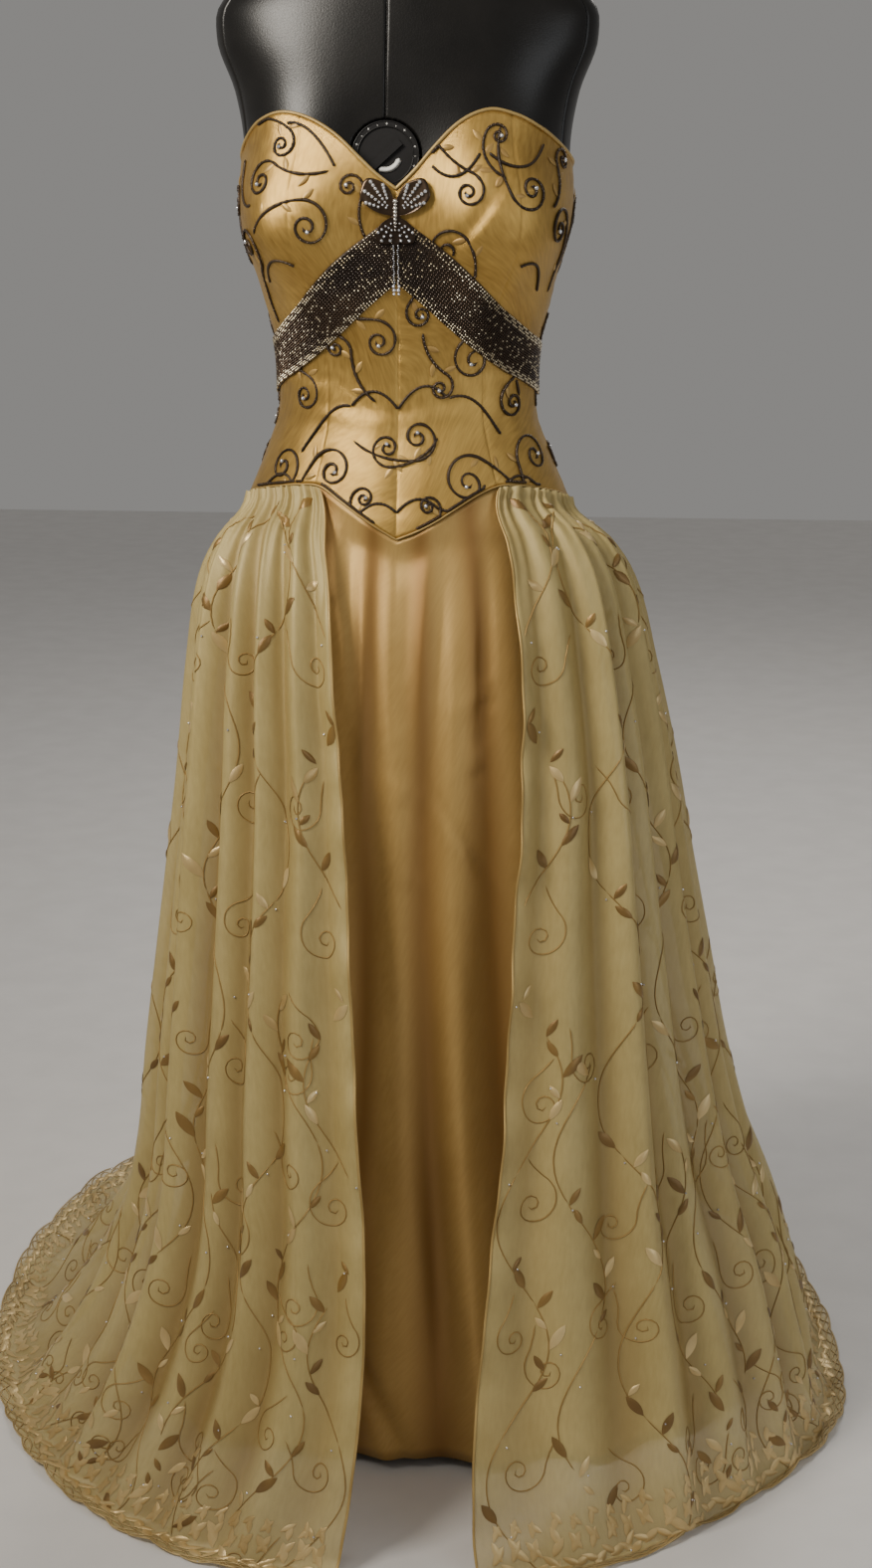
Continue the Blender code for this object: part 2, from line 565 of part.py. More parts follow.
def form_torso(mat):
    degrees = form_angles()
    rings = [form_surface(degrees, np.full(len(degrees), z))
             for z in np.linspace(FORM_BOTTOM, 0.93, FORM_LOWER_ROWS)]
    rings[0][:, 2] = FORM_BOTTOM
    rings += [form_surface(degrees, level(degrees, float(row))) for row in range(bodice_rows() + 1)]
    top = edge("neckline", degrees)
    for share in (0.4, 0.75, 1.0):
        rings.append(form_surface(degrees, top + (SHOULDER_LEVEL - top) * share))
    rings += [form_surface(degrees, np.full(len(degrees), z)) for z in FORM_UPPER_LEVELS]
    torso = loft("form_torso", rings, mat)
    combine(torso, dial_cylinder("dial_pocket", DIAL["radius"] + GAP, -DIAL["depth"] - GAP, 0.02), "DIFFERENCE")
    neck = body(0.0, FORM_UPPER_LEVELS[-1])
    radius = abs(float(neck[1]))
    work = bmesh.new()
    bmesh.ops.create_cone(work, cap_ends=True, segments=32, radius1=radius, radius2=radius - 0.006,
                          depth=CAP_HEIGHT)
    mesh = bpy.data.meshes.new("form_neck_cap")
    work.to_mesh(mesh)
    work.free()
    cap = bpy.data.objects.new("form_neck_cap", mesh)
    cap.location = (0, 0, FORM_UPPER_LEVELS[-1] + GAP + CAP_HEIGHT / 2)
    mesh.materials.append(mat)
    PARTS.objects.link(cap)


def dial_frame():
    """The dial's place on the chest and the turn that stands its axis out of it."""
    height = DIAL["height"]
    half = float(smooth_read(BODY["z"], BODY["half_width"], height))
    centre = form_surface(np.degrees(np.arcsin(DIAL["across"] / half)), np.array(height))
    lean = Matrix.Rotation(math.radians(90 - DIAL["tilt"]), 4, "X")
    return centre, lean


def dial_cylinder(name, radius, inner, outer, mat=None, sides=32):
    """A cylinder on the dial's axis, from inner to outer as measured out from the chest."""
    centre, lean = dial_frame()
    axis = np.array(lean.to_3x3() @ Matrix.Identity(3).col[2])
    middle = centre + axis * (inner + outer) / 2
    return cylinder(name, radius, outer - inner, tuple(middle), lean, sides, mat)


def dial(ring_mat, knob_mat):
    """The ring with its marks' seat, and the knob with its grip, which turns the form's girth on the real one."""
    inner_radius = DIAL["radius"] - DIAL["rim"]
    ring = dial_cylinder("form_dial_ring", DIAL["radius"], -DIAL["depth"], DIAL["proud"], ring_mat)
    combine(ring, dial_cylinder("ring_bore", inner_radius, -DIAL["depth"] / 2, 0.02), "DIFFERENCE")
    knob = dial_cylinder("form_dial_knob", inner_radius - GAP, -DIAL["depth"] / 2 + GAP, DIAL["proud"] - 0.001,
                         knob_mat)
    centre, lean = dial_frame()
    axis = np.array(lean.to_3x3() @ Matrix.Identity(3).col[2])
    middle = centre + axis * (DIAL["proud"] + GRIP["proud"] / 2 - 0.002)
    turn = lean @ Matrix.Rotation(math.radians(GRIP["turn"]), 4, "Z")
    combine(knob, block("knob_grip", (GRIP["length"], GRIP["width"], GRIP["proud"] + 0.002), tuple(middle), turn),
            "UNION")


def stand(mat):
    """The pole, the hub it stands in and the four legs."""
    socket = HUB["socket_floor"]
    length = FORM_BOTTOM - GAP - (socket + GAP)
    cylinder("stand_pole", POLE_RADIUS, length, (0, 0, socket + GAP + length / 2), sides=24, mat=mat)
    bore = POLE_RADIUS + GAP
    outline = [(0, socket), (bore, socket), (bore, HUB["height"]), (HUB["collar"], HUB["height"]),
               (HUB["collar"] + 0.003, 0.045), (HUB["radius"], 0.030), (HUB["radius"], 0.0), (0, 0.0)]
    mesh = bpy.data.meshes.new("stand_hub")
    mesh.from_pydata([(r, 0, z) for r, z in outline], [(i, i + 1) for i in range(len(outline) - 1)], [])
    mesh.materials.append(mat)
    hub = bpy.data.objects.new("stand_hub", mesh)
    PARTS.objects.link(hub)
    turned = hub.modifiers.new("turned", "SCREW")
    turned.steps = turned.render_steps = 24
    turned.use_merge_vertices = True
    turned.merge_threshold = 0.0001
    start = HUB["radius"] + GAP
    side_view = [(start, 0.006), (start, 0.028), (0.120, 0.021), (LEG_REACH - 0.010, 0.015), (LEG_REACH, 0.010),
                 (LEG_REACH, 0.0), (LEG_REACH - 0.026, 0.0), (LEG_REACH - 0.032, 0.004)]
    for number, angle in enumerate(LEG_ANGLES, 1):
        curve = bpy.data.curves.new(f"stand_leg_{number}", "CURVE")
        curve.dimensions = "2D"
        curve.fill_mode = "BOTH"
        curve.extrude = LEG_WIDTH / 2
        spline = curve.splines.new("POLY")
        spline.points.add(len(side_view) - 1)
        for point, (reach, z) in zip(spline.points, side_view):
            point.co = (reach, z, 0, 1)
        spline.use_cyclic_u = True
        curve.materials.append(mat)
        leg = bpy.data.objects.new(f"stand_leg_{number}", curve)
        leg.rotation_euler = (math.radians(90), 0, math.radians(angle))
        PARTS.objects.link(leg)


def wing_reach(degrees):
    """How far the butterfly's outline lies from its centre in each direction."""
    reach = np.full(np.shape(degrees), WING_HUB)
    for direction, length, narrow in WING_LOBES:
        away = (degrees - direction + 180) % 360 - 180
        lobe = np.cos(np.radians(np.clip(away * narrow, -90, 90)))
        reach = reach + length * lobe ** 1.3
    return reach


def at_front(x, z, out):
    """The point of the front at x and z, this far out from the bodice's surface."""
    half = smooth_read(BODY["z"], BODY["half_width"], z)
    return on_body(np.degrees(np.arcsin(x / half)), z, out)


def butterfly(metal, stones):
    """The wings lie on the bands and cups, the body stands on the wings, and two strands hang below."""
    turn = np.linspace(0, 360, WING_CORNERS, endpoint=False)
    under = GAP + BAND_WALL + TRIM_CLEARANCE
    rings = []
    for share, out in ((0.25, under), (1.0, under), (1.0, under + BUTTERFLY_WALL), (0.6, under + BUTTERFLY_WALL),
                       (0.25, under + BUTTERFLY_WALL)):
        reach = wing_reach(turn) * share
        x = reach * np.cos(np.radians(turn))
        z = BUTTERFLY_HEIGHT + reach * np.sin(np.radians(turn))
        rings.append(at_front(x, z, np.full(len(x), out)))
    loft("butterfly_wings", rings, metal)

    over = under + BUTTERFLY_WALL + GAP + 0.0004
    radius, length = 0.0028, 0.026
    centre = at_front(np.array(0.0), np.array(BUTTERFLY_HEIGHT), np.array(over + radius))
    work = bmesh.new()
    bmesh.ops.create_uvsphere(work, u_segments=12, v_segments=8, radius=1.0)
    bmesh.ops.scale(work, vec=(radius, radius, length / 2), verts=work.verts)
    mesh = bpy.data.meshes.new("butterfly_body")
    work.to_mesh(mesh)
    work.free()
    mesh.materials.append(metal)
    mesh.shade_smooth()
    thorax = bpy.data.objects.new("butterfly_body", mesh)
    thorax.location = tuple(centre)
    slope = body(0.0, BUTTERFLY_HEIGHT + 0.01) - body(0.0, BUTTERFLY_HEIGHT - 0.01)
    thorax.rotation_euler = (math.atan2(-slope[1], slope[2]), 0, 0)
    PARTS.objects.link(thorax)

    for name, side in (("butterfly_strand_left", 1), ("butterfly_strand_right", -1)):
        curve = bpy.data.curves.new(name, "CURVE")
        curve.dimensions = "3D"
        curve.bevel_depth = STRANDS["radius"]
        curve.bevel_resolution = 1
        curve.use_fill_caps = True
        spline = curve.splines.new("POLY")
        heights = np.linspace(STRANDS["top"], STRANDS["bottom"], 6)
        path = at_front(np.full(6, side * STRANDS["half_space"]), heights, np.full(6, under + STRANDS["radius"]))
        spline.points.add(len(path) - 1)
        for point, place in zip(spline.points, path):
            point.co = (*place, 1)
        curve.materials.append(stones)
        PARTS.objects.link(bpy.data.objects.new(name, curve))


def build():
    gold = material("bodice_satin", (0.62, 0.48, 0.27), 0.42, 0.15)
    satin_cloth = material("skirt_satin", (0.60, 0.45, 0.25), 0.38)
    organza_cloth = material("organza", (0.66, 0.58, 0.38), 0.5)
    beadwork = material("beadwork", (0.16, 0.10, 0.06), 0.35, 0.5)
    stones = material("rhinestones", (0.80, 0.76, 0.70), 0.15, 0.6)
    vinyl = material("form_vinyl", (0.018, 0.016, 0.015), 0.32)
    dark_plastic = material("dial_plastic", (0.03, 0.03, 0.03), 0.45)
    steel = material("stand_metal", (0.05, 0.05, 0.055), 0.35, 0.8)
    brass = material("zip_metal", (0.55, 0.42, 0.20), 0.3, 0.9)
    tape = material("zip_tape", (0.58, 0.46, 0.28), 0.7)

    bodice_panels(gold)
    beaded_bands(beadwork)
    zip_strip(tape)
    zip_slider(brass)
    satin_skirt(satin_cloth)
    overskirt(organza_cloth)
    butterfly(stones, stones)
    form_torso(vinyl)
    dial(dark_plastic, dark_plastic)
    stand(steel)


clear_scene()
PARTS = bpy.data.collections.new("gown_on_form")
CUTTERS = bpy.data.collections.new("cutters")
for collection in (PARTS, CUTTERS):
    bpy.context.scene.collection.children.link(collection)
build()
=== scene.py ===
"""Looks of a strapless gown with a split organza overskirt, worn by a limbless dress form.

Metres, +Z up, the gown faces -Y. Angles round the body start at the centre front and grow towards +X.
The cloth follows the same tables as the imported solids, with finer folds, and carries the embroidery.
"""

import logging
import math
from dataclasses import dataclass, field
from enum import Enum
from typing import Callable, Sequence

import bpy
import numpy as np
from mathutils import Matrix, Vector


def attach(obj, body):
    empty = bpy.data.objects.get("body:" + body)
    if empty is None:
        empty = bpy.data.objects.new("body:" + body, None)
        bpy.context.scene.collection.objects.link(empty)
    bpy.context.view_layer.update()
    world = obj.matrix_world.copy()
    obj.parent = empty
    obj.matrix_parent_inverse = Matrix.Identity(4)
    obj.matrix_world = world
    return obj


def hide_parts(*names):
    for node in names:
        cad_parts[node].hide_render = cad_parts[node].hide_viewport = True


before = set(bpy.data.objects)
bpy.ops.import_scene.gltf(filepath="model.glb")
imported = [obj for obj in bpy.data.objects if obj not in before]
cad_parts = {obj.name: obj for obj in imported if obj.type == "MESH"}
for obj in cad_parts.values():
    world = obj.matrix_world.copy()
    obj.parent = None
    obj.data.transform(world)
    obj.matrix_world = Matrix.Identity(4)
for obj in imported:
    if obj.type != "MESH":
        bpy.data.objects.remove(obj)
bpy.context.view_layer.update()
log = logging.getLogger("gown")

Table = dict[str, tuple[float, ...]]
GOWN_BODY = "gown_and_form"


# Reading tables and surfaces

def smooth_read(xs: Sequence[float], ys: Sequence[float], x: np.ndarray) -> np.ndarray:
    """A smooth curve through the points (xs, ys), read at x: cubic pieces whose slopes are the points' own.

    Args:
        xs: where the values are stated, in rising order.
        ys: the values.
        x: where to read the curve.

    Returns:
        The curve's values at x.
    """
    xs, ys, x = np.asarray(xs, float), np.asarray(ys, float), np.asarray(x, float)
    slopes = np.gradient(ys, xs)
    i = np.clip(np.searchsorted(xs, x) - 1, 0, len(xs) - 2)
    step = xs[i + 1] - xs[i]
    t = np.clip((x - xs[i]) / step, 0, 1)
    rise = t * t * (3 - 2 * t)
    return (ys[i] * (1 - rise) + ys[i + 1] * rise
            + step * t * (1 - t) * (slopes[i] * (1 - t) - slopes[i + 1] * t))


def bell(x: np.ndarray, centre: float, spread: np.ndarray | float) -> np.ndarray:
    """The bell curve exp(-((x - centre) / spread)^2 / 2)."""
    return np.exp(-0.5 * ((x - centre) / spread) ** 2)


def ease(x: np.ndarray) -> np.ndarray:
    """A smooth step, 3x^2 - 2x^3, from 0 to 1."""
    x = np.clip(x, 0, 1)
    return x * x * (3 - 2 * x)


def fold_wave(fold: np.ndarray) -> np.ndarray:
    """1 on a ridge and 0 in a valley, a little broader on the ridge: (1/2 + cos(2 pi fold) / 2)^0.85."""
    return np.maximum(0.5 + 0.5 * np.cos(2 * np.pi * fold), 0) ** 0.85


def painted_fold_shade(fold: np.ndarray) -> np.ndarray:
    """How much painted shade a fold number gets: how deep in a fold it lies, 0 at the ridge and 1 at the valley,
    weighted to the valley by ^1.5.
    """
    wave = fold_wave(fold)
    return np.clip((wave.max() - wave) / (wave.max() - wave.min()), 0, 1) ** 1.5


def unit(vectors: np.ndarray) -> np.ndarray:
    """The vectors at length 1."""
    return vectors / np.maximum(np.linalg.norm(vectors, axis=-1, keepdims=True), 1e-12)


def slopes_of(surface: Callable[[np.ndarray, np.ndarray], np.ndarray], u: np.ndarray, v: np.ndarray,
              du: float, dv: float) -> tuple[np.ndarray, np.ndarray]:
    """The slopes of surface(u, v) along u and v, as differences over one step each way."""
    return ((surface(u + du, v) - surface(u - du, v)) / (2 * du),
            (surface(u, v + dv) - surface(u, v - dv)) / (2 * dv))


def oval(degrees: np.ndarray, left: np.ndarray, right: np.ndarray, front: np.ndarray,
         back: np.ndarray) -> tuple[np.ndarray, np.ndarray]:
    """A point of a level section whose four half axes differ: x = across sin(a), y = -deep cos(a)."""
    angle = np.radians(degrees)
    across = np.where(np.sin(angle) > 0, left, right)
    deep = np.where(np.cos(angle) > 0, front, back)
    return across * np.sin(angle), -deep * np.cos(angle)


def wander(x: np.ndarray, y: np.ndarray, seed: float) -> np.ndarray:
    """A gentle uneven field from -1 to 1: a few crossed sines whose phases come from the seed."""
    return (np.sin(x * 1.0 + 2.1 * seed + 0.7 * np.sin(y * 0.9 + seed)) * 0.45
            + np.sin(x * 2.3 - 1.3 * seed + 1.1 * np.sin(y * 1.7 - seed)) * 0.3
            + np.sin(x * 0.6 + y * 1.4 + 3.7 * seed) * 0.25)


@dataclass(frozen=True)
class Body:
    """The bodice's outer surface and the edges on it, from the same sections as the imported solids."""

    sections: Table = field(default_factory=lambda: {
        "z": (0.800, 0.840, 0.880, 0.920, 0.940, 0.964, 0.980, 1.003, 1.026, 1.049, 1.076, 1.118,
              1.158, 1.187, 1.210, 1.262, 1.300, 1.350, 1.400, 1.430, 1.455, 1.480, 1.500, 1.525, 1.560),
        "half_width": (0.150, 0.160, 0.165, 0.165, 0.164, 0.160, 0.154, 0.144, 0.135, 0.1265, 0.1245, 0.1265,
                       0.137, 0.144, 0.1515, 0.158, 0.156, 0.164, 0.181, 0.177, 0.150, 0.104, 0.070, 0.058, 0.056),
        "front": (0.112, 0.118, 0.121, 0.122, 0.121, 0.118, 0.114, 0.109, 0.103, 0.098, 0.095, 0.095,
                  0.097, 0.099, 0.100, 0.102, 0.099, 0.090, 0.076, 0.066, 0.058, 0.052, 0.050, 0.050, 0.050),
        "back": (0.118, 0.124, 0.125, 0.122, 0.118, 0.112, 0.106, 0.098, 0.088, 0.080, 0.076, 0.078,
                 0.085, 0.089, 0.092, 0.095, 0.095, 0.094, 0.086, 0.078, 0.070, 0.062, 0.056, 0.053, 0.052)})
    edges: Table = field(default_factory=lambda: {
        "degrees": (0, 6, 12, 20, 30, 40, 52, 65, 78, 90, 112, 135, 158, 180),
        "neckline_left": (1.265, 1.281, 1.300, 1.322, 1.334, 1.330, 1.318, 1.304, 1.294, 1.288, 1.279, 1.273, 1.269,
                          1.268),
        "neckline_right": (1.265, 1.277, 1.292, 1.312, 1.327, 1.332, 1.325, 1.309, 1.296, 1.288, 1.279, 1.273,
                           1.269, 1.268),
        "band_upper": (1.243, 1.231, 1.219, 1.202, 1.180, 1.161, 1.146, 1.134, 1.126, 1.120, 1.120, 1.120, 1.120,
                       1.120),
        "band_lower": (1.181, 1.169, 1.157, 1.141, 1.124, 1.110, 1.097, 1.087, 1.078, 1.070, 1.070, 1.070, 1.070,
                       1.070),
        "basque_left": (0.9475, 0.954, 0.962, 0.974, 0.987, 0.994, 0.992, 0.986, 0.979, 0.972, 0.967, 0.965, 0.964,
                        0.964),
        "basque_right": (0.9475, 0.957, 0.967, 0.980, 0.993, 0.993, 0.989, 0.984, 0.978, 0.972, 0.967, 0.965, 0.964,
                         0.964)})
    cup_angle: float = 39
    cup_spread: float = 18
    cup_height: float = 1.228
    cup_above: float = 0.058
    cup_below: float = 0.043
    cup_rise: float = 0.036
    hollow_spread: float = 18
    hollow_height: float = 1.290
    hollow_reach: float = 0.070
    hollow_depth: float = 0.015
    wall: float = 0.0020
    gap: float = 0.0003
    hip_depth: float = 0.011
    hip_over: float = 0.030
    hip_above: float = 0.004

    def read(self, column: str, z: np.ndarray) -> np.ndarray:
        """One of the sections' columns at a height."""
        return smooth_read(self.sections["z"], self.sections[column], z)

    def edge(self, name: str, degrees: np.ndarray) -> np.ndarray:
        """The height of one of the bodice's edges at an angle round the body."""
        left, right = (self.edges.get(name + side, self.edges.get(name)) for side in ("_left", "_right"))
        away = np.abs(degrees)
        return np.where(np.asarray(degrees) > 0, smooth_read(self.edges["degrees"], left, away),
                        smooth_read(self.edges["degrees"], right, away))

    def surface(self, degrees: np.ndarray, z: np.ndarray) -> np.ndarray:
        """Oval sections with the two cups raised on them, each a bell in angle and in height."""
        degrees, z = np.broadcast_arrays(np.asarray(degrees, float), np.asarray(z, float))
        half, front, back = (self.read(c, z) for c in ("half_width", "front", "back"))
        x, y = oval(degrees, half, half, front, back)
        out_x, out_y = x / half ** 2, y / np.where(y < 0, front, back) ** 2
        length = np.hypot(out_x, out_y)
        spread = np.where(z > self.cup_height, self.cup_above, self.cup_below)
        cup = self.cup_rise * bell(z, self.cup_height, spread) * (
            bell(degrees, self.cup_angle, self.cup_spread) + bell(degrees, -self.cup_angle, self.cup_spread))
        return np.stack([x + cup * out_x / length, y + cup * out_y / length, z], -1)

    def normals(self, degrees: np.ndarray, z: np.ndarray) -> np.ndarray:
        """The outward normals of the surface: the cross product of its slopes round and up."""
        along, up = slopes_of(self.surface, np.asarray(degrees, float), np.asarray(z, float), 0.5, 0.002)
        return unit(np.cross(along, up))

    def at(self, degrees: np.ndarray, z: np.ndarray, out: np.ndarray | float = 0.0) -> np.ndarray:
        """Points this far out from the surface."""
        return self.surface(degrees, z) + np.asarray(out)[..., None] * self.normals(degrees, z)

    def angle_at(self, x: np.ndarray, z: np.ndarray) -> np.ndarray:
        """The angle round the body of a front point at x and z."""
        return np.degrees(np.arcsin(np.clip(x / self.read("half_width", z), -1, 1)))

    def form(self, degrees: np.ndarray, z: np.ndarray) -> np.ndarray:
        """The dress form: the same shape a wall and a gap further in, hollowed between the cups and at the hips."""
        hollow = self.hollow_depth * bell(degrees, 0, self.hollow_spread) * bell(
            z, self.hollow_height, self.hollow_reach)
        below = np.clip((self.edge("basque", degrees) + self.hip_above - z) / self.hip_over, 0, 1)
        return self.at(degrees, z, -(self.wall + self.gap) - hollow * np.clip((z - 1.12) / 0.10, 0, 1)
                       - self.hip_depth * below)


BODY = Body()


@dataclass(frozen=True)
class Satin:
    """The satin skirt's surface, by fold number and fall from the basque (0) to the hem (1)."""

    sections: Table = field(default_factory=lambda: {
        "z": (0.012, 0.100, 0.200, 0.300, 0.400, 0.500, 0.600, 0.700, 0.800, 0.900, 0.940),
        "left": (0.338, 0.312, 0.287, 0.266, 0.247, 0.232, 0.217, 0.203, 0.188, 0.169, 0.158),
        "right": (0.300, 0.270, 0.240, 0.220, 0.208, 0.200, 0.193, 0.186, 0.178, 0.165, 0.156),
        "front": (0.182, 0.184, 0.184, 0.182, 0.179, 0.174, 0.168, 0.160, 0.149, 0.129, 0.117),
        "back": (0.325, 0.305, 0.280, 0.257, 0.235, 0.215, 0.195, 0.175, 0.154, 0.128, 0.112)})
    folds: tuple[tuple[float, float, float], ...] = (
        (-180, 0.004, 0.010), (-155, 0.005, 0.014), (-122, 0.004, 0.012), (-90, 0.005, 0.014), (-62, 0.004, 0.012),
        (-38, 0.007, 0.026), (-16, 0.004, 0.004), (0, 0.003, 0.008), (16, 0.006, 0.020), (36, 0.006, 0.022),
        (62, 0.004, 0.012), (90, 0.005, 0.014), (122, 0.004, 0.012), (155, 0.005, 0.014), (180, 0.004, 0.010))
    seam_gap: float = 0.0013
    inset: float = 0.0010
    blend: float = 0.045

    def top(self, degrees: np.ndarray) -> np.ndarray:
        """Where both skirts start: just under the basque."""
        return BODY.edge("basque", degrees) - self.seam_gap

    def mean(self, degrees: np.ndarray, fall: np.ndarray) -> np.ndarray:
        """Without folds: the oval sections, eased out from under the basque over a short drop."""
        top = self.top(degrees)
        z = top + (self.sections["z"][0] - top) * fall
        axes = [smooth_read(self.sections["z"], self.sections[c], z) for c in ("left", "right", "front", "back")]
        x, y = oval(degrees, *axes)
        seam = BODY.at(degrees, top, -self.inset)
        share = ease((top - z) / self.blend)[..., None]
        drop = seam - np.stack([0 * x, 0 * x, top - z], -1)
        return drop * (1 - share) + np.stack([x, y, z], -1) * share

    def surface(self, fold: np.ndarray, fall: np.ndarray) -> np.ndarray:
        """With folds: whole fold numbers are ridges, which stand out by their row's rise."""
        table = np.array(self.folds).T
        index = np.arange(len(self.folds))
        degrees = np.interp(fold, index, table[0])
        rise, rise_hem = np.interp(fold, index, table[1]), np.interp(fold, index, table[2])
        grow = rise * np.clip(fall / 0.25, 0, 1) + (rise_hem - rise) * np.maximum(fall, 0) ** 1.5
        along, down = slopes_of(self.mean, degrees, fall, 0.5, 0.002)
        wave = fold_wave(fold)
        return self.mean(degrees, fall) + (grow * wave)[..., None] * unit(np.cross(down, along))


SATIN = Satin()


@dataclass(frozen=True)
class Organza:
    """The overskirt's surface on one side, by fold number from the front edge and fall from the seam to the hem."""

    side: int
    folds: tuple[tuple[float, float, float, float], ...]
    sections: Table = field(default_factory=lambda: {
        "fall": (0.00, 0.03, 0.07, 0.15, 0.25, 0.35, 0.44, 0.53, 0.62, 0.71, 0.79, 0.86, 0.92, 1.00),
        "z": (0.970, 0.940, 0.900, 0.800, 0.700, 0.600, 0.500, 0.400, 0.300, 0.200, 0.100, 0.030, 0.000, 0.000),
        "left": (0.160, 0.182, 0.207, 0.232, 0.254, 0.273, 0.293, 0.313, 0.341, 0.379, 0.407, 0.430, 0.452, 0.478),
        "right": (0.158, 0.172, 0.190, 0.205, 0.217, 0.229, 0.241, 0.253, 0.263, 0.285, 0.325, 0.372, 0.402, 0.434),
        "front": (0.117, 0.132, 0.153, 0.180, 0.200, 0.222, 0.243, 0.264, 0.285, 0.307, 0.335, 0.358, 0.372, 0.395),
        "back": (0.112, 0.134, 0.158, 0.190, 0.222, 0.258, 0.300, 0.348, 0.402, 0.465, 0.540, 0.605, 0.660, 0.780),
        "train": (0.000, 0.000, 0.000, 0.000, 0.000, 0.000, 0.000, 0.002, 0.008, 0.020, 0.045, 0.070, 0.084, 0.103),
        "tuck": (0.000, 0.000, 0.000, 0.000, 0.000, 0.000, 0.000, 0.000, 0.000, 0.000, 0.000, 0.005, 0.014, 0.030),
        "edge_left": (0.100, 0.101, 0.110, 0.119, 0.121, 0.117, 0.113, 0.110, 0.102, 0.094, 0.089, 0.092, 0.098,
                      0.106),
        "edge_right": (0.077, 0.069, 0.060, 0.051, 0.041, 0.035, 0.029, 0.023, 0.015, 0.014, 0.020, 0.030, 0.036,
                       0.044)})
    train_angle: float = -118
    train_spread: float = 21
    tuck_angle: float = 54
    tuck_spread: float = 18
    seam_rise: float = 0.0012
    wall: float = 0.0012
    blend: float = 0.045

    @property
    def count(self) -> int:
        """The number of the last fold, at the centre back."""
        return len(self.folds) - 1

    def mean(self, share: np.ndarray, fall: np.ndarray) -> np.ndarray:
        """Without folds: oval sections from the front edge (share 0) to the centre back (1), with the train's
        swell and the tuck at the side of the hem added along the radius."""
        read = {c: smooth_read(self.sections["fall"], self.sections[c], fall) for c in self.sections if c != "fall"}
        across, name = (read["left"], "edge_left") if self.side > 0 else (read["right"], "edge_right")
        first = np.degrees(np.arcsin(np.clip(read[name] / across, -1, 1)))
        degrees = self.side * (first + (180 - first) * share)
        swell = (read["train"] * bell(degrees, self.train_angle, self.train_spread)
                 - read["tuck"] * bell(degrees, self.tuck_angle, self.tuck_spread))
        x, y = oval(degrees, read["left"], read["right"], read["front"], read["back"])
        length = np.maximum(np.hypot(x, y), 1e-9)
        x, y = x * (1 + swell / length), y * (1 + swell / length)
        top, start = SATIN.top(degrees), self.sections["z"][0]
        z = read["z"] + (top - start) * (read["z"] / start) ** 3
        seam = BODY.at(degrees, top, BODY.gap + self.wall)
        drop = seam - np.stack([0 * x, 0 * x, top - z], -1)
        share_out = ease((top - z) / self.blend)[..., None]
        return drop * (1 - share_out) + np.stack([x, y, z], -1) * share_out

    def rise(self, fold: np.ndarray, fall: np.ndarray) -> np.ndarray:
        """How high the folds stand: it grows below the seam and falls where the cloth lies on the floor."""
        table = np.array(self.folds).T
        rise, rise_hem = (np.interp(fold, np.arange(len(self.folds)), column) for column in table[2:])
        swell = np.clip(fall / 0.16, 0, 1)
        grow = self.seam_rise + rise * swell * (2 - swell) + (rise_hem - rise) * fall ** 2
        return grow * (1 - 0.72 * np.clip((fall - 0.80) / 0.14, 0, 1))

    def surface(self, fold: np.ndarray, fall: np.ndarray) -> np.ndarray:
        """With folds, each a ridge that grows below the seam and flattens where the cloth lies on the floor."""
        table = np.array(self.folds).T
        at_seam, at_hem = (np.interp(fold, np.arange(len(self.folds)), column) for column in table[:2])
        share = at_seam * (1 - fall) + at_hem * fall
        grow = self.rise(fold, fall)
        along, down = slopes_of(self.mean, share, fall, 0.004, 0.002)
        wave = fold_wave(fold)
        points = self.mean(share, fall) + (grow * wave)[..., None] * self.side * unit(np.cross(down, along))
        points[..., 2] = np.maximum(points[..., 2], self.wall)
        return points


LEFT_FOLDS = (
    (0.000, 0.000, 0.006, 0.010), (0.075, 0.085, 0.009, 0.014), (0.160, 0.175, 0.020, 0.026),
    (0.225, 0.250, 0.012, 0.016), (0.295, 0.320, 0.018, 0.022), (0.370, 0.390, 0.013, 0.024),
    (0.440, 0.465, 0.019, 0.020), (0.510, 0.530, 0.014, 0.026), (0.585, 0.600, 0.021, 0.022),
    (0.655, 0.665, 0.014, 0.024), (0.730, 0.740, 0.019, 0.030), (0.800, 0.805, 0.015, 0.022),
    (0.870, 0.870, 0.020, 0.028), (0.935, 0.935, 0.014, 0.022), (1.000, 1.000, 0.010, 0.018))
RIGHT_FOLDS = (
    (0.000, 0.000, 0.008, 0.012), (0.060, 0.075, 0.014, 0.020), (0.125, 0.145, 0.017, 0.022),
    (0.190, 0.205, 0.015, 0.018), (0.265, 0.285, 0.024, 0.030), (0.340, 0.350, 0.014, 0.020),
    (0.415, 0.425, 0.019, 0.024), (0.490, 0.505, 0.015, 0.020), (0.565, 0.570, 0.021, 0.028),
    (0.640, 0.645, 0.015, 0.022), (0.715, 0.725, 0.019, 0.030), (0.790, 0.795, 0.014, 0.022),
    (0.860, 0.865, 0.020, 0.028), (0.930, 0.935, 0.014, 0.022), (1.000, 1.000, 0.010, 0.018))


# Meshes

